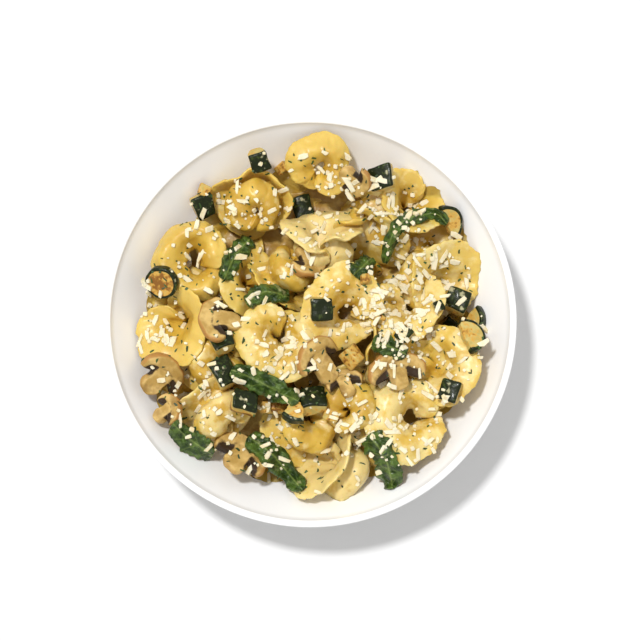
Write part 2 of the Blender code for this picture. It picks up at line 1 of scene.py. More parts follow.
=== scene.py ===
"""The looks of a white pasta bowl of tortellini with mushrooms, courgette, spinach and cheese.

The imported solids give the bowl's size, each food's height and the bed's level; the places in plan
are given here. Sizes are in millimetres and become metres in Shape.piece. Each kind of food is a
class that shapes its own meshes, each finish is a frozen dataclass that builds its own material,
and main serves the bowl in order.
"""

import logging
import math
import random
from dataclasses import dataclass, field
from enum import Enum
from typing import Any, ClassVar, Iterable, Sequence

import bmesh
import bpy
import numpy as np
from mathutils import Matrix, Quaternion, Vector, noise
from mathutils.bvhtree import BVHTree

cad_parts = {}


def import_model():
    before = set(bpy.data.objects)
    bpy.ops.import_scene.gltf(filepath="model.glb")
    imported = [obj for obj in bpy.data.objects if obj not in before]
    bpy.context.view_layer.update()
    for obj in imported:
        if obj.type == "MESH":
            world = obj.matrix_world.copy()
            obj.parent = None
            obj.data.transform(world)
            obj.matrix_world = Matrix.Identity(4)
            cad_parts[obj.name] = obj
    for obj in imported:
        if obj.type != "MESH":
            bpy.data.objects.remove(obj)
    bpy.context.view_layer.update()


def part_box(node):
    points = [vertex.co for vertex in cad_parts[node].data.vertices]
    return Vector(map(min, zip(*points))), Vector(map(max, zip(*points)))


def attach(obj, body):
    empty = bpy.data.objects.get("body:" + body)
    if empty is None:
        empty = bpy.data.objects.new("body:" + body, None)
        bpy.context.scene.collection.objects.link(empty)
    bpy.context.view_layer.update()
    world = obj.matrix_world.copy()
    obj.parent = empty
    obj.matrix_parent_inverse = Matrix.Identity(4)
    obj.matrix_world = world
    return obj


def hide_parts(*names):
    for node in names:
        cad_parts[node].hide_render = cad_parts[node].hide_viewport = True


LOG = logging.getLogger("tortellini")
MM = 0.001
BODY = "root"
UP = Vector((0.0, 0.0, 1.0))

# Heights in millimetres from which a ray is sent down on the bed and on the heap.
ABOVE_BED = 100.0
ABOVE_HEAP = 200.0

# The colour sockets of a Mix node, which share their names with its other sockets.
MIX_FIRST, MIX_SECOND, MIX_RESULT = 6, 7, 2

Pair = tuple[float, float]
Triple = tuple[float, float, float]
Place = Pair
Turn = Triple
Colour = Triple
Cluster = tuple[float, float, float, int]
Array = np.ndarray


# --- Shader maths ---------------------------------------------------------------------------


class Value:
    """One output of a shader graph, so that shader maths reads as plain arithmetic."""

    def __init__(self, graph: "Graph", socket: bpy.types.NodeSocket) -> None:
        """Wraps a socket.

        Args:
            graph: The graph that the socket belongs to.
            socket: The output socket.
        """
        self.graph = graph
        self.socket = socket

    def _math(self, operation: str, first: Any, second: Any) -> "Value":
        """Adds a Math node and returns its output."""
        return self.graph.node("ShaderNodeMath", {"operation": operation}, {0: first, 1: second})

    def __add__(self, other: Any) -> "Value":
        """This plus other."""
        return self._math("ADD", self, other)

    def __radd__(self, other: Any) -> "Value":
        """Other plus this."""
        return self._math("ADD", other, self)

    def __sub__(self, other: Any) -> "Value":
        """This minus other."""
        return self._math("SUBTRACT", self, other)

    def __rsub__(self, other: Any) -> "Value":
        """Other minus this."""
        return self._math("SUBTRACT", other, self)

    def __mul__(self, other: Any) -> "Value":
        """This times other."""
        return self._math("MULTIPLY", self, other)

    def __rmul__(self, other: Any) -> "Value":
        """Other times this."""
        return self._math("MULTIPLY", other, self)

    def step(self, low: float, high: float) -> "Value":
        """An S curve from 0 where this is low to 1 where it is high."""
        limits = {0: self, 1: low, 2: high, 3: 0.0, 4: 1.0}
        return self.graph.node("ShaderNodeMapRange", {"interpolation_type": "SMOOTHSTEP"}, limits)


class Graph:
    """A material under construction."""

    def __init__(self, name: str) -> None:
        """Starts an empty material.

        Args:
            name: The material's name.
        """
        self.material = bpy.data.materials.new(name)
        self.material.use_nodes = True
        self.tree = self.material.node_tree
        self.tree.nodes.clear()
        self.place = self.node("ShaderNodeTexCoord", output="Object")

    def add(
        self, kind: str, settings: dict[str, Any] | None = None, inputs: dict[Any, Any] | None = None
    ) -> bpy.types.Node:
        """Adds one node.

        Args:
            kind: The node's type.
            settings: Its properties, which are set first.
            inputs: Values or links of its sockets, by name or number.

        Returns:
            The node.
        """
        made = self.tree.nodes.new(kind)
        for key, value in (settings or {}).items():
            setattr(made, key, value)
        for key, value in (inputs or {}).items():
            self.feed(made.inputs[key], value)
        return made

    def node(
        self,
        kind: str,
        settings: dict[str, Any] | None = None,
        inputs: dict[Any, Any] | None = None,
        output: int | str = 0,
    ) -> Value:
        """Adds one node and gives one of its outputs.

        Args:
            kind: The node's type.
            settings: Its properties, which are set first.
            inputs: Values or links of its sockets, by name or number.
            output: The output that is wanted.

        Returns:
            The wanted output.
        """
        return Value(self, self.add(kind, settings, inputs).outputs[output])

    def feed(self, socket: bpy.types.NodeSocket, value: Any) -> None:
        """Links a Value to a socket, or sets a plain number or colour on it.

        Args:
            socket: The input socket.
            value: What it gets.
        """
        if isinstance(value, Value):
            self.tree.links.new(value.socket, socket)
        elif isinstance(value, tuple) and len(value) == 3 and socket.type == "RGBA":
            socket.default_value = (*value, 1.0)
        else:
            socket.default_value = value

    def mix(self, share: Any, first: Any, second: Any) -> Value:
        """A colour between first, at share 0, and second, at share 1."""
        inputs = {"Factor": share, MIX_FIRST: first, MIX_SECOND: second}
        return self.node("ShaderNodeMix", {"data_type": "RGBA"}, inputs, MIX_RESULT)

    def mottle(self, pitch_mm: float, detail: float = 2.0, shift: float = 0.0) -> Value:
        """Soft noise about 0.5, with features of about this pitch.

        Args:
            pitch_mm: The size of its features.
            detail: How many finer layers it has.
            shift: Where it is read, so that two of one pitch differ.

        Returns:
            The noise.
        """
        spot = self.node(
            "ShaderNodeVectorMath", {"operation": "ADD"}, {0: self.place, 1: (shift, shift, 0.0)}
        )
        inputs = {"Vector": spot, "Scale": 1.0 / (pitch_mm * MM), "Detail": detail}
        return self.node("ShaderNodeTexNoise", None, inputs)

    def mark(self, name: str) -> Value:
        """A number stored on the mesh's points."""
        return self.node("ShaderNodeAttribute", {"attribute_name": name}, None, "Fac")

    def bump(self, height: Any, depth_mm: float) -> Value:
        """A normal from a height between 0 and 1 that stands for depth_mm."""
        inputs = {"Height": height, "Distance": depth_mm * MM, "Strength": 1.0}
        return self.node("ShaderNodeBump", None, inputs)

    def finish(
        self, colour: Any, roughness: Any, normal: Any = None, **constants: Any
    ) -> bpy.types.Material:
        """Closes the graph with a Principled shader.

        Args:
            colour: Base colour.
            roughness: Roughness.
            normal: Normal, if it is bumped.
            constants: Other inputs by name, with _ for a blank.

        Returns:
            The material.
        """
        inputs = {"Base Color": colour, "Roughness": roughness}
        if normal is not None:
            inputs["Normal"] = normal
        inputs |= {key.replace("_", " "): value for key, value in constants.items()}
        shader = self.node("ShaderNodeBsdfPrincipled", None, inputs)
        self.add("ShaderNodeOutputMaterial", None, {"Surface": shader})
        return self.material


# --- Finishes -------------------------------------------------------------------------------


@dataclass(frozen=True)
class GlazeFinish:
    """White glaze: even, glossy, with a breath of unevenness in its reflection."""

    colour: Colour = (0.948, 0.95, 0.952)
    shade: Colour = (0.93, 0.929, 0.925)
    roughness: float = 0.16
    cloud_mm: float = 38.0
    wave_pitch_mm: float = 14.0
    wave_mm: float = 0.05

    def material(self) -> bpy.types.Material:
        """Builds the material.

        Returns:
            The material.
        """
        graph = Graph("glaze")
        cloud = graph.mottle(self.cloud_mm)
        colour = graph.mix(cloud.step(0.3, 0.8), self.colour, self.shade)
        normal = graph.bump(graph.mottle(self.wave_pitch_mm), self.wave_mm)
        return graph.finish(colour, cloud * 0.08 + self.roughness, normal, Specular_IOR_Level=0.5)


@dataclass(frozen=True)
class PastaFinish:
    """Cooked egg pasta: warm yellow, paler where the sheet is thin, moist with a film of cream."""

    body: Colour = (0.645, 0.425, 0.060)
    deep: Colour = (0.525, 0.310, 0.028)
    thin: Colour = (0.720, 0.520, 0.115)
    cream: Colour = (0.800, 0.670, 0.310)
    roughness: float = 0.36
    cloud_mm: float = 13.0
    film_mm: float = 7.0
    speck_mm: float = 0.9
    grain_mm: float = 0.20
    thin_share: float = 0.7
    creamy_share: float = 0.17
    film_share: float = 0.6
    speck_share: float = 0.35

    def material(self) -> bpy.types.Material:
        """Builds the material.

        Returns:
            The material.
        """
        graph = Graph("pasta")
        cloud = graph.mottle(self.cloud_mm)
        colour = graph.mix(cloud.step(0.38, 0.66), self.deep, self.body)
        colour = graph.mix(graph.mark("sheet") * self.thin_share, colour, self.thin)
        film = graph.mottle(self.film_mm, 4.0, 0.31) + graph.mark("creamy") * self.creamy_share
        colour = graph.mix(film.step(0.52, 0.72) * self.film_share, colour, self.cream)
        speck = graph.mottle(self.speck_mm, 1.0, 0.57).step(0.70, 0.76)
        colour = graph.mix(speck * self.speck_share, colour, self.deep)
        grain = graph.mottle(1.6, 5.0) * 0.7 + graph.mottle(5.5, 2.0) * 1.6
        normal = graph.bump(grain, self.grain_mm)
        roughness = self.roughness + graph.mottle(4.0, 3.0, 0.9) * 0.18
        return graph.finish(
            colour,
            roughness,
            normal,
            Subsurface_Weight=0.22,
            Subsurface_Radius=(0.0032, 0.0018, 0.0006),
            Subsurface_Scale=1.0,
            Coat_Weight=0.25,
            Coat_Roughness=0.26,
        )


@dataclass(frozen=True)
class SauceAndPaintedShadeFinish:
    """Cream sauce that has run down between the parcels; its dark brown is partly the sauce's own
    colour and partly painted shade of the gaps.
    """

    # The dark brown body stands partly for the sauce and partly for painted shade in the gaps between
    # the parcels.
    body: Colour = (0.33, 0.185, 0.034)
    pale: Colour = (0.56, 0.39, 0.115)
    roughness: float = 0.38
    cloud_mm: float = 9.0
    lump_mm: float = 3.5
    relief_mm: float = 0.5

    def material(self) -> bpy.types.Material:
        """Builds the material.

        Returns:
            The material.
        """
        graph = Graph("sauce")
        cloud = graph.mottle(self.cloud_mm, 4.0)
        colour = graph.mix(cloud.step(0.4, 0.68), self.body, self.pale)
        normal = graph.bump(graph.mottle(self.lump_mm, 4.0), self.relief_mm)
        return graph.finish(
            colour, self.roughness, normal, Specular_IOR_Level=0.3, Coat_Weight=0.1, Coat_Roughness=0.2
        )


@dataclass(frozen=True)
class MushroomFinish:
    """A sauteed mushroom slice: beige flesh, golden cap edge, purple-brown gills, a painted shade line
    at the stem.
    """

    flesh: Colour = (0.42, 0.262, 0.068)
    pale: Colour = (0.64, 0.44, 0.155)
    edge: Colour = (0.41, 0.205, 0.052)
    gill: Colour = (0.036, 0.019, 0.007)
    bruise: Colour = (0.21, 0.11, 0.026)
    roughness: float = 0.36
    bruise_share: float = 0.55
    fibre_mm: float = 0.3

    def material(self) -> bpy.types.Material:
        """Builds the material.

        Returns:
            The material.
        """
        graph = Graph("mushroom")
        colour = graph.mix(graph.mottle(6.0, 4.0).step(0.35, 0.68), self.flesh, self.pale)
        patch = graph.mottle(9.0, 3.0, 0.77).step(0.52, 0.68)
        colour = graph.mix(patch * self.bruise_share, colour, self.bruise)
        edge = (graph.mark("edge") + graph.mottle(4.0, 3.0, 0.2) * 0.7 - 0.35).step(0.25, 0.95)
        colour = graph.mix(edge, colour, self.edge)
        # The gill mark also holds a painted shade line where the stem meets the cap.
        gill = (graph.mark("gill") + graph.mottle(2.0, 3.0, 0.4) * 0.7 - 0.35).step(0.12, 0.62)
        colour = graph.mix(gill, colour, self.gill)
        fibre = graph.mottle(0.8, 3.0) * 0.5 + graph.mottle(3.0, 3.0)
        normal = graph.bump(fibre, self.fibre_mm)
        return graph.finish(
            colour,
            self.roughness + graph.mottle(3.0, 2.0, 0.6) * 0.2,
            normal,
            Subsurface_Weight=0.12,
            Subsurface_Radius=(0.002, 0.0012, 0.0006),
            Subsurface_Scale=1.0,
            Specular_IOR_Level=0.22,
            Coat_Weight=0.06,
            Coat_Roughness=0.18,
        )


@dataclass(frozen=True)
class CourgetteFinish:
    """Sauteed courgette: near-black glossy skin, pale flesh, browned where it met the pan."""

    skin: Colour = (0.011, 0.016, 0.004)
    streak: Colour = (0.050, 0.070, 0.013)
    flesh: Colour = (0.55, 0.43, 0.145)
    core: Colour = (0.44, 0.33, 0.09)
    gold: Colour = (0.60, 0.34, 0.065)
    sear: Colour = (0.20, 0.075, 0.014)
    cream: Colour = (0.56, 0.52, 0.31)
    roughness: float = 0.24
    sear_share: float = 0.9
    cream_share: float = 0.7
    relief_mm: float = 0.25

    def material(self) -> bpy.types.Material:
        """Builds the material.

        Returns:
            The material.
        """
        graph = Graph("courgette")
        flesh = graph.mix(graph.mottle(4.0, 4.0).step(0.35, 0.65), self.flesh, self.core)
        heat = graph.mark("sear") + graph.mottle(2.6, 5.0, 0.7) * 2.4 - 1.2
        flesh = graph.mix(heat.step(0.15, 0.60), flesh, self.gold)
        flesh = graph.mix(heat.step(0.50, 0.95) * self.sear_share, flesh, self.sear)
        skin = graph.mix(graph.mottle(2.2, 3.0, 0.15).step(0.52, 0.75), self.skin, self.streak)
        smear = graph.mottle(5.0, 5.0, 0.45).step(0.60, 0.68)
        skin = graph.mix(smear * self.cream_share, skin, self.cream)
        colour = graph.mix(graph.mark("skin").step(0.35, 0.65), flesh, skin)
        normal = graph.bump(graph.mottle(1.5, 4.0) + graph.mottle(5.0, 2.0), self.relief_mm)
        roughness = self.roughness + graph.mottle(3.0, 2.0, 0.8) * 0.16
        return graph.finish(
            colour, roughness, normal, Specular_IOR_Level=0.16, Coat_Weight=0.07, Coat_Roughness=0.08
        )


@dataclass(frozen=True)
class SpinachFinish:
    """Wilted spinach: dark wet green, paler along the veins."""

    leaf: Colour = (0.020, 0.042, 0.006)
    light: Colour = (0.078, 0.135, 0.020)
    vein: Colour = (0.22, 0.29, 0.070)
    cream: Colour = (0.45, 0.46, 0.21)
    roughness: float = 0.28
    vein_share: float = 0.75
    cream_share: float = 0.65
    relief_mm: float = 0.7

    def material(self) -> bpy.types.Material:
        """Builds the material.

        Returns:
            The material.
        """
        graph = Graph("spinach")
        colour = graph.mix(graph.mottle(5.0, 4.0).step(0.40, 0.64), self.leaf, self.light)
        colour = graph.mix(graph.mark("vein") * self.vein_share, colour, self.vein)
        smear = graph.mottle(7.0, 4.0, 0.25).step(0.60, 0.72)
        colour = graph.mix(smear * self.cream_share, colour, self.cream)
        relief = graph.mottle(1.3, 4.0) + graph.mottle(3.5, 3.0) * 1.5
        normal = graph.bump(relief, self.relief_mm)
        return graph.finish(
            colour,
            self.roughness + graph.mottle(3.0) * 0.15,
            normal,
            Specular_IOR_Level=0.25,
            Coat_Weight=0.18,
            Coat_Roughness=0.12,
        )


@dataclass(frozen=True)
class CheeseFinish:
    """Shredded hard cheese: ivory, dry, faintly see-through at its edges."""

    body: Colour = (0.79, 0.715, 0.51)
    warm: Colour = (0.72, 0.60, 0.34)
    roughness: float = 0.45
    grain_mm: float = 0.15

    def material(self) -> bpy.types.Material:
        """Builds the material.

        Returns:
            The material.
        """
        graph = Graph("cheese")
        colour = graph.mix(graph.mottle(5.0, 3.0).step(0.45, 0.70), self.body, self.warm)
        normal = graph.bump(graph.mottle(0.7, 4.0), self.grain_mm)
        return graph.finish(
            colour,
            self.roughness + graph.mottle(2.0) * 0.15,
            normal,
            Subsurface_Weight=0.2,
            Subsurface_Radius=(0.002, 0.0014, 0.0008),
            Subsurface_Scale=1.0,
        )


@dataclass(frozen=True)
class ParsleyFinish:
    """Chopped parsley: dark matt green."""

    leaf: Colour = (0.016, 0.040, 0.006)
    light: Colour = (0.045, 0.095, 0.015)
    roughness: float = 0.5

    def material(self) -> bpy.types.Material:
        """Builds the material.

        Returns:
            The material.
        """
        graph = Graph("parsley")
        colour = graph.mix(graph.mottle(6.0).step(0.45, 0.62), self.leaf, self.light)
        return graph.finish(colour, self.roughness, graph.bump(graph.mottle(0.5), 0.1))


@dataclass(frozen=True)
class FloorFinish:
    """A plain white table."""

    colour: Colour = (0.71, 0.71, 0.71)
    roughness: float = 0.65

    def material(self) -> bpy.types.Material:
        """Builds the material.

        Returns:
            The material.
        """
        graph = Graph("floor")
        roughness = graph.mottle(200.0) * 0.1 + self.roughness
        return graph.finish(self.colour, roughness, None, Specular_IOR_Level=0.1)


# --- Shapes ---------------------------------------------------------------------------------


def smooth_step(low: float, high: float, value: Any) -> Any:
    """0 below low, 1 above high, and an S curve between them, for numbers or arrays."""
    share = np.clip((value - low) / (high - low), 0.0, 1.0)
    return share * share * (3.0 - 2.0 * share)


def noise_at(points: Array, pitch: float, offset: Vector) -> Array:
    """Smooth noise of about -1 to 1 at each point, read at an offset."""
    return np.array([noise.noise(Vector(p) / pitch + offset) for p in points.tolist()])


def wobble(points: Array, pitch: float, seed: float) -> Array:
    """Smooth noise of about -1 to 1 at each point, with features of this pitch in millimetres."""
    return noise_at(points, pitch, Vector((seed * 7.3, seed * 1.9, 0.0)))


def facing_up(turn: Turn) -> Quaternion:
    """How a piece is turned.

    Args:
        turn: Heading, lean and side in degrees. It leans up the side, then heads.

    Returns:
        The rotation.
    """
    heading, lean, side = [math.radians(angle) for angle in turn]
    leaning = Matrix.Rotation(-lean, 3, "Y") @ Matrix.Rotation(-side, 3, "Z")
    return (Matrix.Rotation(heading, 3, "Z") @ leaning).to_quaternion()


def ring_faces(rings: int, size: int, closed_rings: bool = False) -> list[tuple[int, ...]]:
    """Quads between rings of points that follow each other.

    Args:
        rings: How many rings there are.
        size: How many points each has.
        closed_rings: Whether the last ring meets the first.

    Returns:
        The faces.
    """
    faces: list[tuple[int, ...]] = []
    for i in range(rings if closed_rings else rings - 1):
        j = (i + 1) % rings
        for k in range(size):
            m = (k + 1) % size
            faces.append((i * size + k, i * size + m, j * size + m, j * size + k))
    return faces


@dataclass
class Shape:
    """A mesh in millimetres, with numbers stored on its points for the materials."""

    points: Array
    faces: list[tuple[int, ...]]
    marks: dict[str, Array] = field(default_factory=dict)
    smooth: bool = True

    def piece(
        self, name: str, finish: bpy.types.Material, slot: str, *nodes: str
    ) -> bpy.types.Object:
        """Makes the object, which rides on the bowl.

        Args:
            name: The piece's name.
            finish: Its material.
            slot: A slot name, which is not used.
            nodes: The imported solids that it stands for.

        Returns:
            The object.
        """
        mesh = bpy.data.meshes.new(name)
        mesh.from_pydata((self.points * MM).tolist(), [], self.faces)
        for key, values in self.marks.items():
            layer = mesh.attributes.new(key, "FLOAT", "POINT")
            layer.data.foreach_set("value", np.asarray(values, np.float32))
        shape = bmesh.new()
        shape.from_mesh(mesh)
        bmesh.ops.recalc_face_normals(shape, faces=shape.faces)
        shape.to_mesh(mesh)
        shape.free()
        if self.smooth:
            mesh.shade_smooth()
        mesh.materials.append(finish)
        made = bpy.data.objects.new(name, mesh)
        bpy.context.scene.collection.objects.link(made)
        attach(made, BODY)
        if nodes:
            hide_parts(*nodes)
        LOG.info("%s: %d faces", name, len(self.faces))
        return made


def joined(shapes: Sequence[Shape]) -> Shape:
    """Several shapes as one.

    Args:
        shapes: The shapes, which have the same marks.

    Returns:
        The shape.
    """
    faces: list[tuple[int, ...]] = []
    start = 0
    for shape in shapes:
        faces += [tuple(start + k for k in face) for face in shape.faces]
        start += len(shape.points)
    points = np.concatenate([shape.points for shape in shapes])
    marks = {key: np.concatenate([shape.marks[key] for shape in shapes]) for key in shapes[0].marks}
    return Shape(points, faces, marks, shapes[0].smooth)


@dataclass(frozen=True)
class Bowl:
    """The coupe bowl, turned from the same profile as its solid, with a rounder rim."""

    radius: float
    height: float
    rim_thickness: float = 3.8
    floor_level: float = 8.0
    floor_thickness: float = 5.5
    flat_radius: float = 40.0
    wall_power: float = 2.5
    outer_power: float = 1.8
    foot_radius: float = 56.0
    foot_width: float = 5.0
    inner_spacing: float = 0.8
    outer_spacing: float = 1.1
    segments: int = 168
    wall_steps: int = 26
    rim_steps: int = 12
    film: float = 0.15

    @property
    def rim_level(self) -> float:
        """Height of the middle of the rim's round."""
        return self.height - self.rim_thickness / 2

    def inside_level(self, radius: float) -> float:
        """Height of the inner surface.

        Args:
            radius: Distance from the middle.

        Returns:
            The height.
        """
        inner = self.radius - self.rim_thickness
        share = max(0.0, (radius - self.flat_radius) / (inner - self.flat_radius))
        return self.floor_level + (self.rim_level - self.floor_level) * share**self.wall_power

    def kept_inside(self, points: Array) -> Array:
        """Keeps points out of the wall and the floor.

        Args:
            points: The points.

        Returns:
            The points, lifted to the inner surface where they would be below it.
        """
        kept = points.copy()
        radii = np.minimum(np.hypot(points[:, 0], points[:, 1]), self.radius - self.rim_thickness)
        floor = np.array([self.inside_level(radius) for radius in radii]) + self.film
        kept[:, 2] = np.maximum(points[:, 2], floor)
        return kept

    def profile(self) -> list[Pair]:
        """The outline that is turned.

        Returns:
            (radius, height) points from the middle inside, over the rim, to the middle underneath.
        """
        inner, half = self.radius - self.rim_thickness, self.rim_thickness / 2
        points = [(self.flat_radius * share, self.floor_level) for share in (0.25, 0.5, 0.75)]
        for step in range(self.wall_steps + 1):
            share = (step / self.wall_steps) ** self.inner_spacing
            radius = self.flat_radius + (inner - self.flat_radius) * share
            points.append((radius, self.inside_level(radius)))
        for step in range(1, self.rim_steps):
            angle = math.pi * step / self.rim_steps
            radius = self.radius - half * (1 + math.cos(angle))
            points.append((radius, self.rim_level + half * math.sin(angle)))
        drop = self.floor_level - self.floor_thickness
        for step in range(self.wall_steps):
            share = 1 - (step / self.wall_steps) ** self.outer_spacing
            radius = self.foot_radius + (self.radius - self.foot_radius) * share
            points.append((radius, drop + (self.rim_level - drop) * share**self.outer_power))
        foot, inside = self.foot_radius, self.foot_radius - self.foot_width
        points += [(foot, 0.6), (foot - 0.5, 0.05), (foot - 1.0, 0.0), (inside + 1.0, 0.0)]
        points += [(inside, 0.5), (inside - 1.0, drop), (foot / 2, drop)]
        return points

    def shape(self) -> Shape:
        """Turns the profile.

        Returns:
            The bowl.
        """
        profile = self.profile()
        points = []
        for segment in range(self.segments):
            angle = 2 * math.pi * segment / self.segments
            points += [(r * math.cos(angle), r * math.sin(angle), z) for r, z in profile]
        size = len(profile)
        faces = [f for f in ring_faces(self.segments, size, True) if f[1] != f[0] - size + 1]
        faces.append(tuple(s * size for s in range(self.segments)))
        faces.append(tuple(s * size + size - 1 for s in reversed(range(self.segments))))
        return Shape(np.array(points), faces)


# --- The kinds of food ----------------------------------------------------------------------


@dataclass(frozen=True)
class Food:
    """A piece that lies over its own spot with its highest point where its solid's is."""

    number: int
    place: Place
    turn: Turn
    kind: ClassVar[str] = ""
    settles: ClassVar[bool] = True
    upper_cosine: ClassVar[float] = 0.8

    @property
    def node(self) -> str:
        """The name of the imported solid."""
        return f"{self.kind}_{self.number:02d}"

    def shape(self) -> Shape:
        """The piece about its own middle."""
        raise NotImplementedError

    def attitude(self) -> Quaternion:
        """How the piece is turned: as served, then tilted as its solid's upper side lies.

        Returns:
            The rotation.
        """
        turn = facing_up(self.turn)
        if not self.settles:
            return turn
        level = turn @ UP
        if level.z < 0:
            level = -level
        tilted = Vector((0.0, 0.0, 0.0))
        for face in bpy.data.objects[self.node].data.polygons:
            if face.normal.dot(level) > self.upper_cosine:
                tilted += face.normal * face.area
        return level.rotation_difference(tilted.normalized()) @ turn if tilted.length > 0 else turn

    def laid(self, bowl: Bowl) -> Shape:
        """Puts the piece in its place, as high as its solid.

        Args:
            bowl: The bowl that it rests against where it meets it.

        Returns:
            The piece.
        """
        return self.put(self.attitude(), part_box(self.node)[1].z / MM, bowl)

    def put(self, attitude: Quaternion, top: float, bowl: Bowl) -> Shape:
        """Puts the piece in its place.

        Args:
            attitude: How it is turned.
            top: Height of its highest point.
            bowl: The bowl that it rests against where it meets it.

        Returns:
            The piece.
        """
        shape = self.shape()
        points = shape.points @ np.array(attitude.to_matrix()).T
        low, high = points.min(0), points.max(0)
        shift = np.array([*(np.array(self.place) - (low + high)[:2] / 2), top - high[2]])
        return Shape(bowl.kept_inside(points + shift), shape.faces, shape.marks)


@dataclass(frozen=True)
class Tortellino(Food):
    """A half-moon parcel wrapped round a finger: a full pocket, a thin curled brim, ends pinched."""

    size: float = 1.0
    brim_fold: float = 100.0
    fluted: float = 0.3
    hole_radius: float = 2.6
    creamy: float = 0.2
    kind: ClassVar[str] = "tortellino"
    settles: ClassVar[bool] = False

    width: ClassVar[float] = 30.0
    end_width: ClassVar[float] = 6.0
    pocket_half: ClassVar[float] = 8.0
    end_half: ClassVar[float] = 2.3
    sheet_half: ClassVar[float] = 0.85
    pocket_peak: ClassVar[float] = 0.23
    pocket_fall: ClassVar[float] = 0.36
    curl: ClassVar[Pair] = (0.42, 0.80)
    belly_shift: ClassVar[float] = 3.5
    overlap: ClassVar[float] = 0.13
    dimple: ClassVar[float] = 2.4
    dimple_pitch: ClassVar[float] = 21.0
    unevenness: ClassVar[float] = 0.16
    width_power: ClassVar[float] = 0.6
    full_power: ClassVar[float] = 0.8
    end_unfolding: ClassVar[float] = 0.45
    lump: ClassVar[float] = 1.2
    lump_pitch: ClassVar[float] = 7.5
    crease: ClassVar[float] = 0.5
    crease_pitch: ClassVar[float] = 3.2
    wrinkle: ClassVar[float] = 0.75
    wrinkle_pitch: ClassVar[float] = 8.5
    waves: ClassVar[tuple[Pair, ...]] = ((0.9, 2.4), (2.1, 1.5), (4.6, 0.5))
    teeth: ClassVar[int] = 34
    stations: ClassVar[int] = 156
    round_steps: ClassVar[int] = 7
    sheet_steps: ClassVar[int] = 15
    fine_steps: ClassVar[int] = 96

    def sections(self) -> tuple[Array, Array, Array]:
        """The parcel's outline at each station round the finger.

        Returns:
            Distance from the axis, height, and the share of the way from the fold to the cut edge,
            each as one row per station.
        """
        reach = math.pi * (1 + self.overlap)
        angle = np.linspace(-reach, reach, self.stations)[:, None]
        share = np.abs(angle) / reach
        width = self.end_width + (self.width - self.end_width) * (1 - share**2) ** self.width_power
        width = width * (1 + self.unevenness * self.along_ring(angle, 1.7, 3.0))
        full = (0.5 + 0.5 * np.cos(math.pi * share)) ** self.full_power
        thick = self.end_half + (self.pocket_half - self.end_half) * full
        fold = math.radians(self.brim_fold) * (1 - self.end_unfolding * share**2)
        fine = np.linspace(0.0, 1.0, self.fine_steps + 1)[None, :]
        heading = math.pi / 2 - fold * smooth_step(*self.curl, fine)
        run = width / self.fine_steps
        x = np.cumsum(np.cos(heading) * run, axis=1)
        z = np.cumsum(np.sin(heading) * run, axis=1)
        uneven = 1 + self.unevenness * self.along_ring(angle, 1.1, 5.0)
        x = x - x[:, :1] + (self.hole_radius + 0.95 * thick) * uneven
        z = z - z[:, :1] - width * self.pocket_peak
        along = self.steps()
        x, z, heading = [
            np.array([np.interp(along, fine[0], row) for row in rows]) for rows in (x, z, heading)
        ]
        half = self.half_thickness(along[None, :], thick)
        ruffle = smooth_step(0.5, 1.0, along)[None, :] ** 1.5 * self.ruffle(angle)
        shift = self.crossing(angle, share) + ruffle
        tooth = np.abs(((angle * self.teeth / (2 * math.pi)) % 1.0) - 0.5) * 2 - 0.5
        edge = smooth_step(0.88, 1.0, along)[None, :] * tooth * self.fluted * (1 - share**4)
        x = x + np.cos(heading) * edge
        z = z + np.sin(heading) * edge
        side_x, side_z = -np.sin(heading), np.cos(heading)
        inner = x + side_x * (half + shift), z + side_z * (half + shift)
        outer = x - side_x * (half - shift), z - side_z * (half - shift)
        loop_x = np.hstack([inner[0], outer[0][:, :0:-1]])
        loop_z = np.hstack([inner[1], outer[1][:, :0:-1]])
        loop_along = np.hstack([along, along[:0:-1]])
        return loop_x, loop_z, np.tile(loop_along, (self.stations, 1))

    def steps(self) -> Array:
        """Where the outline has its points.

        Returns:
            Shares from fold to cut edge, close together where the fold is round and at the edge.
        """
        turn = np.linspace(0.0, math.pi / 2, self.round_steps + 1)
        rounded = self.pocket_peak * (1 - np.cos(turn))
        sheet = np.linspace(self.pocket_peak, 0.97, self.sheet_steps + 1)[1:]
        return np.concatenate([rounded, sheet, [0.992, 1.0]])

    def half_thickness(self, along: Array, thick: Array) -> Array:
        """Half of the thickness, full in the pocket and thin in the brim.

        Args:
            along: Shares of the way from the fold to the cut edge.
            thick: Half of each station's greatest thickness.

        Returns:
            One row per station.
        """
        rise = np.sqrt(np.clip(1 - ((along - self.pocket_peak) / self.pocket_peak) ** 2, 0, 1))
        fall = np.clip((along - self.pocket_peak) / self.pocket_fall, 0, 1)
        sheet = self.sheet_half * (1 - 0.55 * smooth_step(0.97, 1.0, along))
        swell = sheet + (thick - sheet) * (0.5 + 0.5 * np.cos(math.pi * fall))
        return np.where(along < self.pocket_peak, thick * rise, swell)

    def ruffle(self, angle: Array) -> Array:
        """How far the brim stands out of its smooth curl at each station."""
        return sum(size * self.along_ring(angle, turns, turns) for turns, size in self.waves)

    def along_ring(self, angle: Array, turns: float, seed: float) -> Array:
        """Smooth noise of about -1 to 1 that changes with the angle alone."""
        spots = np.column_stack([angle[:, 0] * turns, np.zeros((len(angle), 2))])
        return wobble(spots, 1.0, self.number + seed)[:, None]

    def crossing(self, angle: Array, share: Array) -> Array:
        """Moves one end out over the other where they cross behind the finger."""
        lead = smooth_step(0.58, 0.80, share) * (self.end_half + 0.2)
        return np.where(angle > 0, -lead, lead * 0.9)

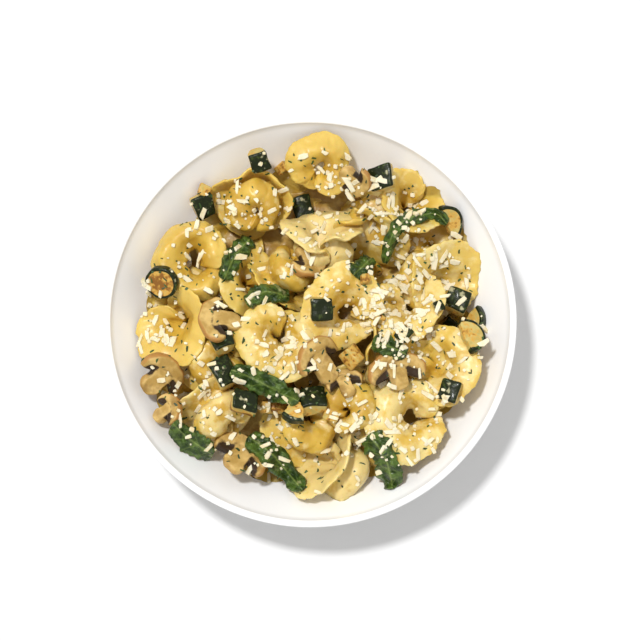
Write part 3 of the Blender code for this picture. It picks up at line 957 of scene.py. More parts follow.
    def shape(self) -> Shape:
        """The parcel about its own middle.

        Returns:
            The parcel, marked where it is a bare sheet and how creamy it is.
        """
        reach = math.pi * (1 + self.overlap)
        r, z, along = self.sections()
        angle = np.linspace(-reach, reach, self.stations)[:, None]
        points = np.stack([r * np.cos(angle) - self.belly_shift, r * np.sin(angle), z], axis=2)
        size = points.shape[1]
        points = points.reshape(-1, 3)
        push = np.stack([self.dent(points, axis) for axis in range(3)], axis=1)
        along = along.ravel()
        lumps = wobble(points, self.lump_pitch, self.number + 0.5) * (1 - smooth_step(0.5, 0.7, along))
        away = points * (1.0, 1.0, 0.4) + (self.belly_shift, 0.0, 0.0)
        away /= np.linalg.norm(away, axis=1)[:, None] + 1e-6
        crease = wobble(points, self.crease_pitch, self.number + 0.2) * smooth_step(0.3, 0.6, along)
        line = 1 - np.abs(wobble(points, self.wrinkle_pitch, self.number + 0.7)) * 5
        crease = crease * self.crease - np.maximum(line, 0.0) * self.wrinkle
        lift = away * (lumps * self.lump + crease)[:, None]
        points = (points + push * self.dimple + lift) * self.size
        faces = ring_faces(self.stations, size)
        faces.append(tuple(reversed(range(size))))
        faces.append(tuple(range((self.stations - 1) * size, self.stations * size)))
        sheet = smooth_step(self.pocket_peak + self.pocket_fall - 0.08, 0.9, along)
        return Shape(points, faces, {"sheet": sheet, "creamy": np.full(len(points), self.creamy)})

    def dent(self, points: Array, axis: int) -> Array:
        """The solid's own slow dents along one axis."""
        return noise_at(points, self.dimple_pitch, Vector((self.number * 7.3, 0.0, 31.7 * axis)))


@dataclass(frozen=True)
class HiddenTortellino(Tortellino):
    """A parcel of the lower layer, of which only a little shows between the upper ones."""

    stations: ClassVar[int] = 84
    above_bed: ClassVar[float] = 7.0
    bed_depth: ClassVar[float] = 8.0

    def sunk(self, bed: BVHTree, bowl: Bowl) -> Shape:
        """The parcel, turned and sunk into the bed.

        Args:
            bed: The bed's solid.
            bowl: The bowl that it lies in.

        Returns:
            The parcel, its top a little above the bed's solid.
        """
        hit = bed.ray_cast(Vector((*self.place, ABOVE_BED)), -UP)[0]
        level = hit.z if hit else bowl.inside_level(math.hypot(*self.place)) + self.bed_depth
        return self.put(facing_up(self.turn), level + self.above_bed, bowl)


@dataclass(frozen=True)
class LowerLayer:
    """The parcels under those that show."""

    seed: int = 8
    first_number: int = 30
    size: float = 1.05
    brim_folds: Pair = (85, 115)
    places: tuple[Place, ...] = (
        (0, 0),
        (29, 2),
        (10, 27),
        (-24, 18),
        (-24, -22),
        (8, -28),
        (-8, 66),
        (64, 45),
        (66, 1),
        (-68, 12),
        (-62, -36),
        (-20, -64),
        (30, -62),
        (56, -34),
        (30, 60),
        (-44, 48),
        (13, 62),
        (42, 27),
    )

    def shape(self, bed: BVHTree, bowl: Bowl) -> Shape:
        """The lower layer, as one shape.

        Args:
            bed: The bed's solid.
            bowl: The bowl that it lies in.

        Returns:
            The parcels, each turned its own way.
        """
        rng = random.Random(self.seed)
        layer: list[Shape] = []
        for number, place in enumerate(self.places, self.first_number):
            turn = rng.uniform(0, 360), rng.uniform(0, 40) + rng.choice((0, 140)), rng.uniform(0, 360)
            fold = rng.uniform(*self.brim_folds)
            layer.append(HiddenTortellino(number, place, turn, self.size, fold).sunk(bed, bowl))
        return joined(layer)


@dataclass(frozen=True)
class Cut(Food):
    """A slice or chunk: an outline with a rounded edge, drawn out to its thickness."""

    edge_round: ClassVar[float] = 1.0
    spokes: ClassVar[int] = 96
    rings: ClassVar[int] = 16
    side_rows: ClassVar[int] = 7
    warp: ClassVar[float] = 0.5
    bend_pitch: ClassVar[float] = 14.0
    warp_pitch: ClassVar[float] = 6.0
    corner_shares: ClassVar[Pair] = (0.82, 0.18)

    def outline(self) -> Array:
        """The outline's corners."""
        raise NotImplementedError

    def hub(self) -> Array:
        """A point that sees the whole outline."""
        return np.zeros(2)

    def depth(self) -> float:
        """The thickness."""
        raise NotImplementedError

    def rounded(self) -> Array:
        """The outline with its corners cut twice.

        Returns:
            Points about the hub, evenly spaced by their angle there.
        """
        ring = self.outline() - self.hub()
        near, far = self.corner_shares
        for _ in range(2):
            after = np.roll(ring, -1, axis=0)
            pairs = [ring * near + after * far, ring * far + after * near]
            ring = np.stack(pairs, axis=1).reshape(-1, 2)
        angle = np.arctan2(ring[:, 1], ring[:, 0])
        order = np.argsort(angle)
        angle, radius = angle[order], np.hypot(ring[order, 0], ring[order, 1])
        wanted = np.linspace(-math.pi, math.pi, self.spokes, endpoint=False)
        spread = np.interp(wanted, angle, radius, period=2 * math.pi)
        return np.stack([spread * np.cos(wanted), spread * np.sin(wanted)], axis=1)

    def rows(self) -> list[Pair]:
        """The rings of points that make the cut.

        Returns:
            (inset from the outline, height) pairs from the middle of the top to that of the bottom.
        """
        half, curve = self.depth() / 2, min(self.edge_round, self.depth() * 0.45)
        top = [(inset, half) for inset in np.linspace(1.0, 0.0, self.rings, endpoint=False)[1:]]
        quarter = np.linspace(0.0, math.pi / 2, 4)
        bend = [(-curve * (1 - math.sin(a)), half - curve * (1 - math.cos(a))) for a in quarter]
        sides = np.linspace(half - curve, curve - half, self.side_rows)[1:-1]
        upper = top + bend
        return upper + [(-0.0, z) for z in sides] + [(s, -z) for s, z in reversed(upper)]

    def marks(self, points: Array) -> dict[str, Array]:
        """Numbers for the finish at each point, before the piece is warped."""
        raise NotImplementedError

    def relief(self, points: Array) -> Array:
        """How far each point stands out of its flat face."""
        return np.zeros(len(points))

    def shape(self) -> Shape:
        """The cut about its own middle.

        Returns:
            The cut, with its finish's marks.
        """
        ring = self.rounded()
        reach = np.hypot(ring[:, 0], ring[:, 1])[:, None]
        layers = []
        for inset, height in self.rows():
            scale = 1 - inset if inset > 0 else (reach + inset) / reach
            if inset > 0:
                scale = scale * (reach - self.edge_round) / reach
            flat = ring * scale + self.hub()
            layers.append(np.column_stack([flat, np.full(len(flat), height)]))
        middle, half = self.hub(), self.depth() / 2
        points = np.vstack([*layers, [(*middle, half), (*middle, -half)]])
        marks = self.marks(points)
        points[:, 2] += np.sign(points[:, 2]) * self.relief(points)
        points[:, 2] += wobble(points, self.bend_pitch, self.number) * self.warp * 2
        points[:, 0] += wobble(points, self.warp_pitch, self.number + 0.3) * self.warp
        points[:, 1] += wobble(points, self.warp_pitch, self.number + 0.6) * self.warp
        faces = ring_faces(len(layers), self.spokes)
        top, bottom, last = len(points) - 2, len(points) - 1, (len(layers) - 1) * self.spokes
        for k in range(self.spokes):
            m = (k + 1) % self.spokes
            faces.append((top, m, k))
            faces.append((bottom, last + k, last + m))
        return Shape(points, faces, marks)


@dataclass(frozen=True)
class MushroomSlice(Cut):
    """A slice down through a button mushroom, its stem along -Y."""

    cap_width: float = 26.0
    stem_length: float = 10.0
    kind: ClassVar[str] = "mushroom"
    thickness: ClassVar[float] = 5.2
    dome: ClassVar[float] = 0.78
    stem_share: ClassVar[float] = 0.39
    edge_round: ClassVar[float] = 1.7
    warp: ClassVar[float] = 1.1
    gill_depth: ClassVar[float] = 0.7

    def depth(self) -> float:
        """The slice's thickness."""
        return self.thickness

    def hub(self) -> Array:
        """A little above the lips, where cap and stem are both in sight."""
        return np.array([0.0, self.cap_width * 0.11])

    def outline(self) -> Array:
        """Cap, lips and stem.

        Returns:
            The outline's corners.
        """
        half = self.cap_width / 2
        stem = half * self.stem_share
        angles = np.radians(np.arange(0, 181, 15))
        dome = [(half * math.cos(a), half * self.dome * math.sin(a)) for a in angles]
        left = [
            (-half * 0.98, -half * 0.14),
            (-half * 0.88, -half * 0.31),
            (-half * 0.68, -half * 0.27),
            (-stem * 1.05, -half * 0.10),
            (-stem * 0.96, -self.stem_length * 0.5),
            (-stem * 1.08, -self.stem_length * 0.85),
            (-stem * 0.62, -self.stem_length - stem * 0.34),
            (0.0, -self.stem_length - stem * 0.45),
        ]
        return np.array(dome + left + [(-x, y) for x, y in reversed(left[:-1])])

    def marks(self, points: Array) -> dict[str, Array]:
        """Where the gills, a painted shade line where the stem meets the cap, and the browned edge are.

        Args:
            points: The points of the flat cut.

        Returns:
            The marks.
        """
        half = self.cap_width / 2
        x, y = np.abs(points[:, 0]) / half, points[:, 1] / half
        cap = np.hypot(x, np.maximum(y, 0) / self.dome)
        beside = smooth_step(self.stem_share - 0.12, self.stem_share + 0.03, x)
        vault = np.hypot(x / 0.86, (y + 0.32) / 0.58)
        # seam is a painted shade line: a dark arc where the stem meets the cap, put into the gill mark.
        painted_shade_seam = 0.32 * np.exp(-(((vault - 1.0) / 0.11) ** 2)) * smooth_step(-0.25, 0.0, y)
        gill = np.maximum(beside * smooth_step(1.10, 0.84, vault), painted_shade_seam)
        below = smooth_step(-0.46, -0.34, y)
        flank = smooth_step(0.62, 0.95, np.abs(points[:, 2]) / (self.thickness / 2))
        edge = np.maximum(smooth_step(0.84, 0.98, cap), (1 - flank) * 0.9)
        return {"gill": gill * below, "edge": edge * (0.55 + 0.45 * smooth_step(-0.3, 0.1, y))}

    def relief(self, points: Array) -> Array:
        """The gills lie a little below the flesh."""
        return -self.gill_depth * self.marks(points)["gill"]


@dataclass(frozen=True)
class CourgetteDice(Cut):
    """A chunk from a quartered courgette: its skin, slightly round, faces +Z."""

    across: float = 13.0
    along: float = 12.0
    deep: float = 9.0
    browned: float = 0.45
    peeled: bool = False
    kind: ClassVar[str] = "courgette"
    skin_radius: ClassVar[float] = 19.0
    wedge_taper: ClassVar[float] = 0.72
    spokes: ClassVar[int] = 72
    rings: ClassVar[int] = 9
    side_rows: ClassVar[int] = 16
    warp: ClassVar[float] = 0.75
    peeled_sear: ClassVar[float] = 0.5

    def depth(self) -> float:
        """The chunk's length."""
        return self.along

    def outline(self) -> Array:
        """Skin, sides and base, seen along the courgette.

        Returns:
            The outline's corners.
        """
        half_angle = math.asin(self.across / 2 / self.skin_radius)
        angles = np.linspace(half_angle, -half_angle, 7)
        level = self.deep / 2 - self.skin_radius * (1 - np.cos(angles))
        skin = list(zip(self.skin_radius * np.sin(angles), level))
        base = self.across / 2 * self.wedge_taper
        return np.array([*skin, (-base, -self.deep / 2), (base, -self.deep / 2)])

    def marks(self, points: Array) -> dict[str, Array]:
        """Where the skin and the browning are.

        Args:
            points: The points of the flat cut.

        Returns:
            The marks.
        """
        away = np.hypot(points[:, 0], points[:, 1] - (self.deep / 2 - self.skin_radius))
        skin = smooth_step(self.skin_radius - 1.9, self.skin_radius - 0.9, away) * (not self.peeled)
        sear = smooth_step(self.deep / 2, -self.deep / 2, points[:, 1]) * self.browned
        sear = np.maximum(sear, self.peeled_sear * self.peeled)
        return {"skin": skin, "sear": sear}

    def shape(self) -> Shape:
        """The chunk about its own middle.

        Returns:
            The chunk, its length along Y.
        """
        shape = super().shape()
        x, y, z = shape.points.T
        return Shape(np.stack([x, -z, y], axis=1), shape.faces, shape.marks)


@dataclass(frozen=True)
class CourgetteSlice(Cut):
    """A flat slice of courgette, a sector of a round, with its skin along the arc towards +Y."""

    radius: float = 10.0
    sweep: float = 180.0
    thickness: float = 4.5
    browned: float = 0.5
    kind: ClassVar[str] = "courgette"
    edge_round: ClassVar[float] = 0.8
    spokes: ClassVar[int] = 84
    rings: ClassVar[int] = 14

    def depth(self) -> float:
        """The slice's thickness."""
        return self.thickness

    def lift(self) -> float:
        """How far the arc's centre lies below the middle."""
        return self.radius * 0.5 if self.sweep < 360 else 0.0

    def outline(self) -> Array:
        """The arc, and its centre where the slice is less than half a round.

        Returns:
            The outline's corners.
        """
        half = math.radians(self.sweep) / 2
        angles = half * (1 - np.arange(17 if self.sweep < 360 else 16) / 8)
        across, up = self.radius * np.sin(angles), self.radius * np.cos(angles)
        ring = np.column_stack([across, up - self.lift()])
        return np.vstack([ring, (0.0, -self.lift())]) if self.sweep < 180 else ring

    def marks(self, points: Array) -> dict[str, Array]:
        """Where the skin and the browning are.

        Args:
            points: The points of the flat cut.

        Returns:
            The marks.
        """
        away = np.hypot(points[:, 0], points[:, 1] + self.lift())
        skin = smooth_step(self.radius - 2.2, self.radius - 1.5, away)
        sear = self.browned * (0.6 + 0.4 * smooth_step(self.radius, 0.0, away))
        return {"skin": skin, "sear": sear}


SERVED: tuple[Food, ...] = (
    Tortellino(11, (-33, 23), (200, 35, 0), 1.00, 95),
    Tortellino(13, (-54, -19), (-60, 160, 90), 1.08, 90),
    Tortellino(18, (-6, -57), (10, 150, 90), 1.10, 90),
    Tortellino(19, (22, -44), (-150, 170, 20), 1.05, 110),
    Tortellino(21, (60, -28), (70, 25, 40), 1.05, 70),
    Tortellino(22, (-15, 24), (45, 120, 35), 1.00, 100),
    Tortellino(20, (43, -12), (-15, 110, 10), 1.05, 110),
    MushroomSlice(8, (-1, 32), (200, 0, 0), 22, 9),
    MushroomSlice(6, (18, -34), (20, 0, 0), 20, 8),
    CourgetteDice(3, (-4, 63), (15, 0, 0), 11, 15, 8),
    CourgetteDice(18, (-47, -12), (30, 0, 0), 12, 10, 9),
    CourgetteDice(13, (1, -43), (10, 0, 0), 16, 13, 9),
    CourgetteDice(15, (-18, -43), (-10, 180, 0), 13, 11, 8, 1.0),
    Tortellino(9, (51, 8), (-60, 25, 0), 1.08, 100, 0.4, 2.6, 0.6),
    Tortellino(5, (33, 50), (70, 60, 135), 1.10, 90),
    Tortellino(6, (54, 64), (-135, 25, 0), 1.10, 60, 0.3, 2.6, 0.0),
    Tortellino(1, (4, 85), (90, 20, 0), 0.87, 140, 0.1, 3.0, -0.8),
    Tortellino(2, (-32, 65), (-100, 150, 30), 1.16, 135, 0.1, 1.8, -0.3),
    Tortellino(3, (-65, 33), (180, 0, 0), 1.02, 165, 0.0, 5.6, -0.4),
    Tortellino(12, (-72, -3), (0, 30, 60), 1.16, 80, 0.3, 2.6, -1.0),
    Tortellino(14, (-52, -45), (-60, 125, 20), 1.10, 90, 0.7, 2.6, 0.9),
    Tortellino(4, (6, 45), (-90, 60, 180), 1.12, 95, 0.2, 2.6, 1.7),
    Tortellino(7, (69, 23), (160, 35, 60), 1.20, 75, 0.7, 2.6, 0.45),
    Tortellino(8, (17, 8), (160, 10, 0), 1.06, 118, 0.4, 4.4, 0.5),
    Tortellino(10, (-17, -12), (-95, 15, 0), 1.10, 120, 0.25, 3.8, 0.6),
    Tortellino(17, (72, -24), (-10, 15, 0), 0.98, 105, 0.3, 3.4, 0.5),
    Tortellino(16, (50, -53), (200, 8, 0), 1.08, 118, 0.45, 4.2, 0.85),
    Tortellino(15, (10, -75), (-25, 50, 60), 1.15, 75, 0.4, 2.6, 1.5),
    MushroomSlice(9, (-76, -47), (-60, 0, 0), 20, 8),
    MushroomSlice(1, (-79, -28), (-45, 0, 0), 28, 11),
    MushroomSlice(2, (-48, 0), (90, 0, 0), 27, 11),
    MushroomSlice(3, (4, -22), (35, 0, 0), 27, 13),
    MushroomSlice(4, (46, -27), (10, 0, 0), 32, 6),
    MushroomSlice(5, (-37, -71), (-38, 0, 0), 31, 8),
    CourgetteDice(1, (-27, 86), (20, 0, 0), 10.5, 10, 8),
    CourgetteDice(2, (-58, 64), (110, 50, 0), 14, 11, 10),
    CourgetteDice(4, (38, 76), (10, 0, 0), 14, 13, 10),
    MushroomSlice(7, (24, 74), (40, 15, 180), 20, 9),
    CourgetteSlice(5, (75, 54), (-60, 0, 0), 10, 170, 4.5),
    CourgetteSlice(6, (-79, 21), (0, 0, 0), 9.0, 360, 5.0, 0.95),
    CourgetteDice(7, (6, 5), (5, 0, 0), 12, 12, 11),
    CourgetteDice(8, (79, 12), (-20, 0, 0), 13, 12, 9),
    CourgetteSlice(9, (89, 3), (-80, 0, 0), 12, 70, 5.0),
    CourgetteSlice(10, (86, -9), (-75, 0, 0), 10, 200, 4.5, 0.35),
    CourgetteDice(11, (-46, -28), (30, 0, 0), 13, 16, 9),
    CourgetteDice(12, (-35, -44), (-97, 32, 0), 12, 14, 11, 1.3),
    CourgetteDice(14, (22, -20), (40, 45, 0), 10, 10, 10, 0.9, True),
    CourgetteDice(16, (74, -38), (-20, 0, 0), 11, 12, 8),
    CourgetteSlice(17, (-9, -50), (160, 0, 0), 13, 60, 6.0),
)


@dataclass(frozen=True)
class Contact:
    """What lies on top at a spot."""

    point: Vector
    normal: Vector
    name: str


class Heap:
    """Everything served so far, for finding what lies on top at a spot."""

    settling_stride: ClassVar[int] = 5

    def __init__(self) -> None:
        """Starts with nothing served."""
        self.layers: list[tuple[BVHTree, Array, Array, str]] = []

    def add(self, shape: Shape, name: str) -> None:
        """Puts a shape on the heap.

        Args:
            shape: The shape, in millimetres.
            name: What it is called.
        """
        tree = BVHTree.FromPolygons(shape.points.tolist(), shape.faces)
        self.layers.append((tree, shape.points.min(0), shape.points.max(0), name))

    def under(self, x: float, y: float) -> Contact | None:
        """What lies on top here.

        Args:
            x: Millimetres to the right.
            y: Millimetres away from the diner.

        Returns:
            The contact, or None beside everything served.
        """
        best: Contact | None = None
        start = Vector((x, y, ABOVE_HEAP))
        for tree, low, high, name in self.layers:
            if not (low[0] <= x <= high[0] and low[1] <= y <= high[1]):
                continue
            if best is not None and best.point.z >= high[2]:
                continue
            point, normal, _, _ = tree.ray_cast(start, -UP)
            if point is not None and (best is None or point.z > best.point.z):
                best = Contact(point, normal if normal.z > 0 else -normal, name)
        return best

    def settled(self, shape: Shape) -> Shape:
        """Lowers a shape that would hang clear until it touches what is under it.

        Args:
            shape: The shape in its place.

        Returns:
            The shape, at rest.
        """
        gaps: list[float] = []
        for x, y, z in shape.points[:: self.settling_stride].tolist():
            under = self.under(x, y)
            if under is not None:
                gaps.append(z - under.point.z)
        drop = max(0.0, min(gaps, default=0.0))
        LOG.info("lowered by %.1f mm", drop)
        return Shape(shape.points - (0.0, 0.0, drop), shape.faces, shape.marks)


@dataclass(frozen=True)
class SpinachLeaf:
    """A wilted leaf that lies along a path over whatever is under it."""

    number: int
    path: tuple[Place, ...]
    width: float
    stations: ClassVar[int] = 56
    lanes: ClassVar[int] = 25
    thickness: ClassVar[float] = 0.6
    clearance: ClassVar[float] = 0.7
    spread: ClassVar[float] = 1.15
    steepest: ClassVar[float] = 1.1
    ragged: ClassVar[tuple[Pair, ...]] = ((6.0, 0.40), (17.0, 0.26))
    crumples: ClassVar[tuple[Triple, ...]] = ((6.0, 0.0, 4.2), (2.6, 0.4, 1.5))
    pleat: ClassVar[float] = 0.35
    limp: ClassVar[float] = 1.2
    rib_share: ClassVar[float] = 0.07
    closing_passes: ClassVar[int] = 2
    smoothing_passes: ClassVar[int] = 4

    @property
    def node(self) -> str:
        """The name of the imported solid."""
        return f"spinach_{self.number:02d}"

    def centre(self, along: float) -> Vector:
        """A point of the path, which runs in a smooth curve through its places.

        Args:
            along: How far along it, from 0 to 1.

        Returns:
            The point, in plan.
        """
        spans = len(self.path) - 1
        span = min(spans - 1, max(0, int(along * spans)))
        t = along * spans - span
        before, start, end, after = [
            Vector(self.path[min(max(span + k, 0), spans)]) for k in (-1, 0, 1, 2)
        ]
        return 0.5 * (
            2 * start
            + (end - before) * t
            + (2 * before - 5 * start + 4 * end - after) * t**2
            + (3 * start - before - 3 * end + after) * t**3
        )

    def spot(self, along: float, across: float) -> Vector:
        """Where a point of the leaf lies in plan.

        Args:
            along: How far along the path, from 0 to 1.
            across: How far to the side, from -1 to 1.

        Returns:
            The place.
        """
        heading = (self.centre(along + 0.02) - self.centre(along - 0.02)).normalized()
        side = Vector((-heading.y, heading.x))
        swell = math.sin(math.pi * min(1.0, 0.12 + along * 0.85)) ** 0.7
        breadth = self.spread * self.width / 2 * (0.45 + 0.55 * swell)
        ragged = 1.0
        for pitch, size in self.ragged:
            edge = Vector((along * pitch, math.copysign(4, across), self.number * 3.1))
            ragged += size * noise.noise(edge)
        tip = min(1.0, (min(along, 1 - along) / 0.08 + 0.15)) ** 0.5
        return self.centre(along) + side * (breadth * across * ragged * tip)

    def levels(self, spots: Array, heap: Heap) -> Array:
        """Where the leaf would lie, closed over the narrow gaps, nowhere steep, and smooth.

        Args:
            spots: The leaf's points in plan.
            heap: What it lies on.

        Returns:
            The height under each spot.
        """
        found = np.zeros(spots.shape[:2])
        for index in np.ndindex(found.shape):
            under = heap.under(*spots[index])
            found[index] = under.point.z if under else 0.0
        grown = found.copy()
        steps = [self.steepest * np.linalg.norm(np.diff(spots, axis=k), axis=2).mean() for k in (0, 1)]
        for _ in range(self.stations // 2):
            padded = np.pad(grown, 1, mode="edge")
            along = np.maximum(padded[:-2, 1:-1], padded[2:, 1:-1]) - steps[0]
            across = np.maximum(padded[1:-1, :-2], padded[1:-1, 2:]) - steps[1]
            grown = np.maximum(grown, np.maximum(along, across))
        for _ in range(self.closing_passes):
            grown = np.max(self.around(grown), axis=0)
        for _ in range(self.smoothing_passes):
            grown = np.mean(self.around(grown), axis=0)
        return np.maximum(grown, found)

    def around(self, level: Array) -> list[Array]:
        """The heights next to each one.

        Args:
            level: The heights, as a grid.

        Returns:
            The grid itself and shifted by one to each side and corner.
        """
        rows, columns = level.shape
        padded = np.pad(level, 1, mode="edge")
        return [padded[i : i + rows, j : j + columns] for i in range(3) for j in range(3)]

    def draped(self, heap: Heap) -> Shape:
        """Lays the leaf on the heap.

        Args:
            heap: What it lies on.

        Returns:
            The leaf, marked with its veins.
        """
        across = np.linspace(-1, 1, self.lanes)
        along = np.linspace(0, 1, self.stations)
        spots = np.array([[self.spot(a, c) for c in across] for a in along])
        level = self.levels(spots, heap)
        flat = np.dstack([spots, np.zeros_like(level)]).reshape(-1, 3)
        crumple = sum(
            np.abs(wobble(flat, pitch, self.number + shift)) * size
            for pitch, shift, size in self.crumples
        ).reshape(level.shape)
        sway = wobble(flat, 16.0, self.number).reshape(level.shape) * 3
        pleat = self.pleat * np.cos(across * 9.0 + sway)
        limp = -self.limp * np.abs(across) ** 4
        height = level + self.clearance + crumple + pleat + limp
        top = np.dstack([spots, height]).reshape(-1, 3)
        bottom = top - (0, 0, self.thickness)
        count = len(top)
        faces: list[tuple[int, ...]] = []
        for i in range(self.stations - 1):
            for j in range(self.lanes - 1):
                a = i * self.lanes + j
                quad = (a, a + 1, a + self.lanes + 1, a + self.lanes)
                faces.append(quad)
                faces.append(tuple(count + k for k in reversed(quad)))
        last = (self.stations - 1) * self.lanes
        border = [i * self.lanes for i in range(self.stations)]
        border += [last + j for j in range(1, self.lanes)]
        border += [i * self.lanes + self.lanes - 1 for i in reversed(range(self.stations - 1))]
        border += list(reversed(range(1, self.lanes - 1)))
        for a, b in zip(border, border[1:] + border[:1]):
            faces.append((b, a, a + count, b + count))
        rib = np.exp(-((across / self.rib_share) ** 2))[None, :] * np.ones((self.stations, 1))
        branch = np.abs(np.sin((along[:, None] * 4.5 + np.abs(across)[None, :] * 0.9) * math.pi))
        vein = np.maximum(rib, smooth_step(0.16, 0.02, branch) * 0.6).ravel()
        return Shape(np.vstack([top, bottom]), faces, {"vein": np.concatenate([vein, vein])})


LEAVES: tuple[SpinachLeaf, ...] = (
    SpinachLeaf(1, ((40, 32), (44, 46), (53, 55), (66, 58), (73, 52)), 7),
    SpinachLeaf(2, ((-34, 9), (-24, 15), (-11, 13)), 9),
    SpinachLeaf(3, ((-42, -27), (-29, -32), (-16, -39), (-6, -44)), 10),
    SpinachLeaf(4, ((-73, -55), (-64, -63), (-52, -71)), 11),
    SpinachLeaf(5, ((-33, -61), (-19, -72), (-4, -90)), 11),
    SpinachLeaf(6, ((31, -61), (40, -74), (44, -89)), 11),
    SpinachLeaf(7, ((-32, 46), (-40, 36), (-46, 22)), 9.5),
    SpinachLeaf(8, ((33, -12), (43, -15), (51, -19)), 9),
    SpinachLeaf(9, ((23, 24), (28, 29), (33, 35)), 9),
)


@dataclass(frozen=True)
class Bed:
    """What lies under the pieces that show: sauce over a lower layer of pasta."""

    radius: float = 68.0
    film_reach: float = 15.0
    rings: int = 72
    spokes: int = 180
    sauce_rise: float = 1.0
    lumps: Pair = (2.2, 0.7)
    shore: float = 12.0
    clearance: float = 0.1

    def solid(self) -> BVHTree:
        """The bed's solid, for finding its level.

        Returns:
            Its faces, in millimetres.
        """
        mesh = bpy.data.objects["pasta_bed"].data
        corners = [vertex.co / MM for vertex in mesh.vertices]
        return BVHTree.FromPolygons(corners, [tuple(face.vertices) for face in mesh.polygons])

    def shape(self, bowl: Bowl, tree: BVHTree) -> Shape:
        """The bed, over its solid.

        Args:
            bowl: The bowl that it lies in.
            tree: The bed's solid.

        Returns:
            The bed.
        """
        top, bottom = [], []
        for ring in range(1, self.rings + 1):
            share = ring / self.rings
            for spoke in range(self.spokes):
                angle = 2 * math.pi * spoke / self.spokes
                ragged = 0.5 + noise.noise(Vector((math.cos(angle) * 3.0, math.sin(angle) * 3.0, 5.0)))
                radius = (self.radius + self.film_reach * max(0.1, ragged)) * share
                x, y = radius * math.cos(angle), radius * math.sin(angle)
                hit = tree.ray_cast(Vector((x, y, ABOVE_BED)), -UP)[0]
                floor = bowl.inside_level(radius) + self.clearance
                lump = noise.noise(Vector((x, y, 0.0)) / 9.0) * self.lumps[0]
                lump += noise.noise(Vector((x, y, 9.0)) / 3.5) * self.lumps[1]
                fade = smooth_step(self.radius, self.radius - self.shore, radius)
                level = max(hit.z if hit else floor, floor) + (self.sauce_rise + lump) * fade
                film = 0.15 + 0.5 * smooth_step(1.0, 0.93, share)
                top.append((x, y, max(level, floor + film)))
                bottom.append((x, y, floor))
        points = np.array(top + bottom + [(0, 0, top[0][2]), (0, 0, bowl.floor_level + 0.3)])
        count = self.rings * self.spokes
        faces = ring_faces(self.rings, self.spokes)
        faces += [tuple(count + k for k in reversed(f)) for f in faces]
        edge = (self.rings - 1) * self.spokes
        for k in range(self.spokes):
            m = (k + 1) % self.spokes
            faces.append((2 * count, k, m))
            faces.append((2 * count + 1, count + m, count + k))
            faces.append((edge + k, count + edge + k, count + edge + m, edge + m))
        return Shape(points, faces)


@dataclass(frozen=True)
class Scraps:
    """The small courgette bits that lie between the larger pieces, most of them browned."""

    seed: int = 17
    first_number: int = 40
    bare_level: float = 20.0
    sunk_share: float = 0.3
    places: tuple[tuple[float, float, float, bool], ...] = (
        (67.7, 7.4, 6.5, False),
        (75.7, 1.5, 7.5, False),
        (50.0, -8.0, 8.0, False),
        (11.6, -50.8, 7.5, True),
        (-57.3, 71.4, 6.5, True),
        (-15.0, 85.0, 7.0, True),
        (-6.0, -37.0, 6.0, True),
        (-24.0, -46.0, 6.0, True),
        (29.0, 22.0, 5.5, True),
        (37.0, 1.0, 5.0, True),
    )

    def shape(self, heap: Heap) -> Shape:
        """The bits, each lying on what is under it.

        Args:
            heap: What is served already.

        Returns:
            The bits, as one shape.
        """
        rng = random.Random(self.seed)
        bits: list[Shape] = []
        for number, (x, y, size, browned) in enumerate(self.places, self.first_number):
            turn = (rng.uniform(0, 360), rng.uniform(-25, 25), rng.uniform(0, 360))
            across, along, deep = [size * rng.uniform(0.75, 1.1) for _ in range(3)]
            sear = 0.4 + browned * 0.6
            bit = CourgetteDice(number, (x, y), turn, across, along, deep, sear, browned).shape()
            under = heap.under(x, y)
            level = (under.point.z if under else self.bare_level) + deep * self.sunk_share
            points = bit.points @ np.array(facing_up(turn).to_matrix()).T
            bits.append(Shape(points + (x, y, level), bit.faces, bit.marks))
        return joined(bits)


# --- What is scattered on top ---------------------------------------------------------------


class Bit(Enum):
    """A kind of small topping."""

    SHRED = "cheese_shreds"
    CRUMB = "cheese_crumbs"
    FLECK = "parsley_flecks"


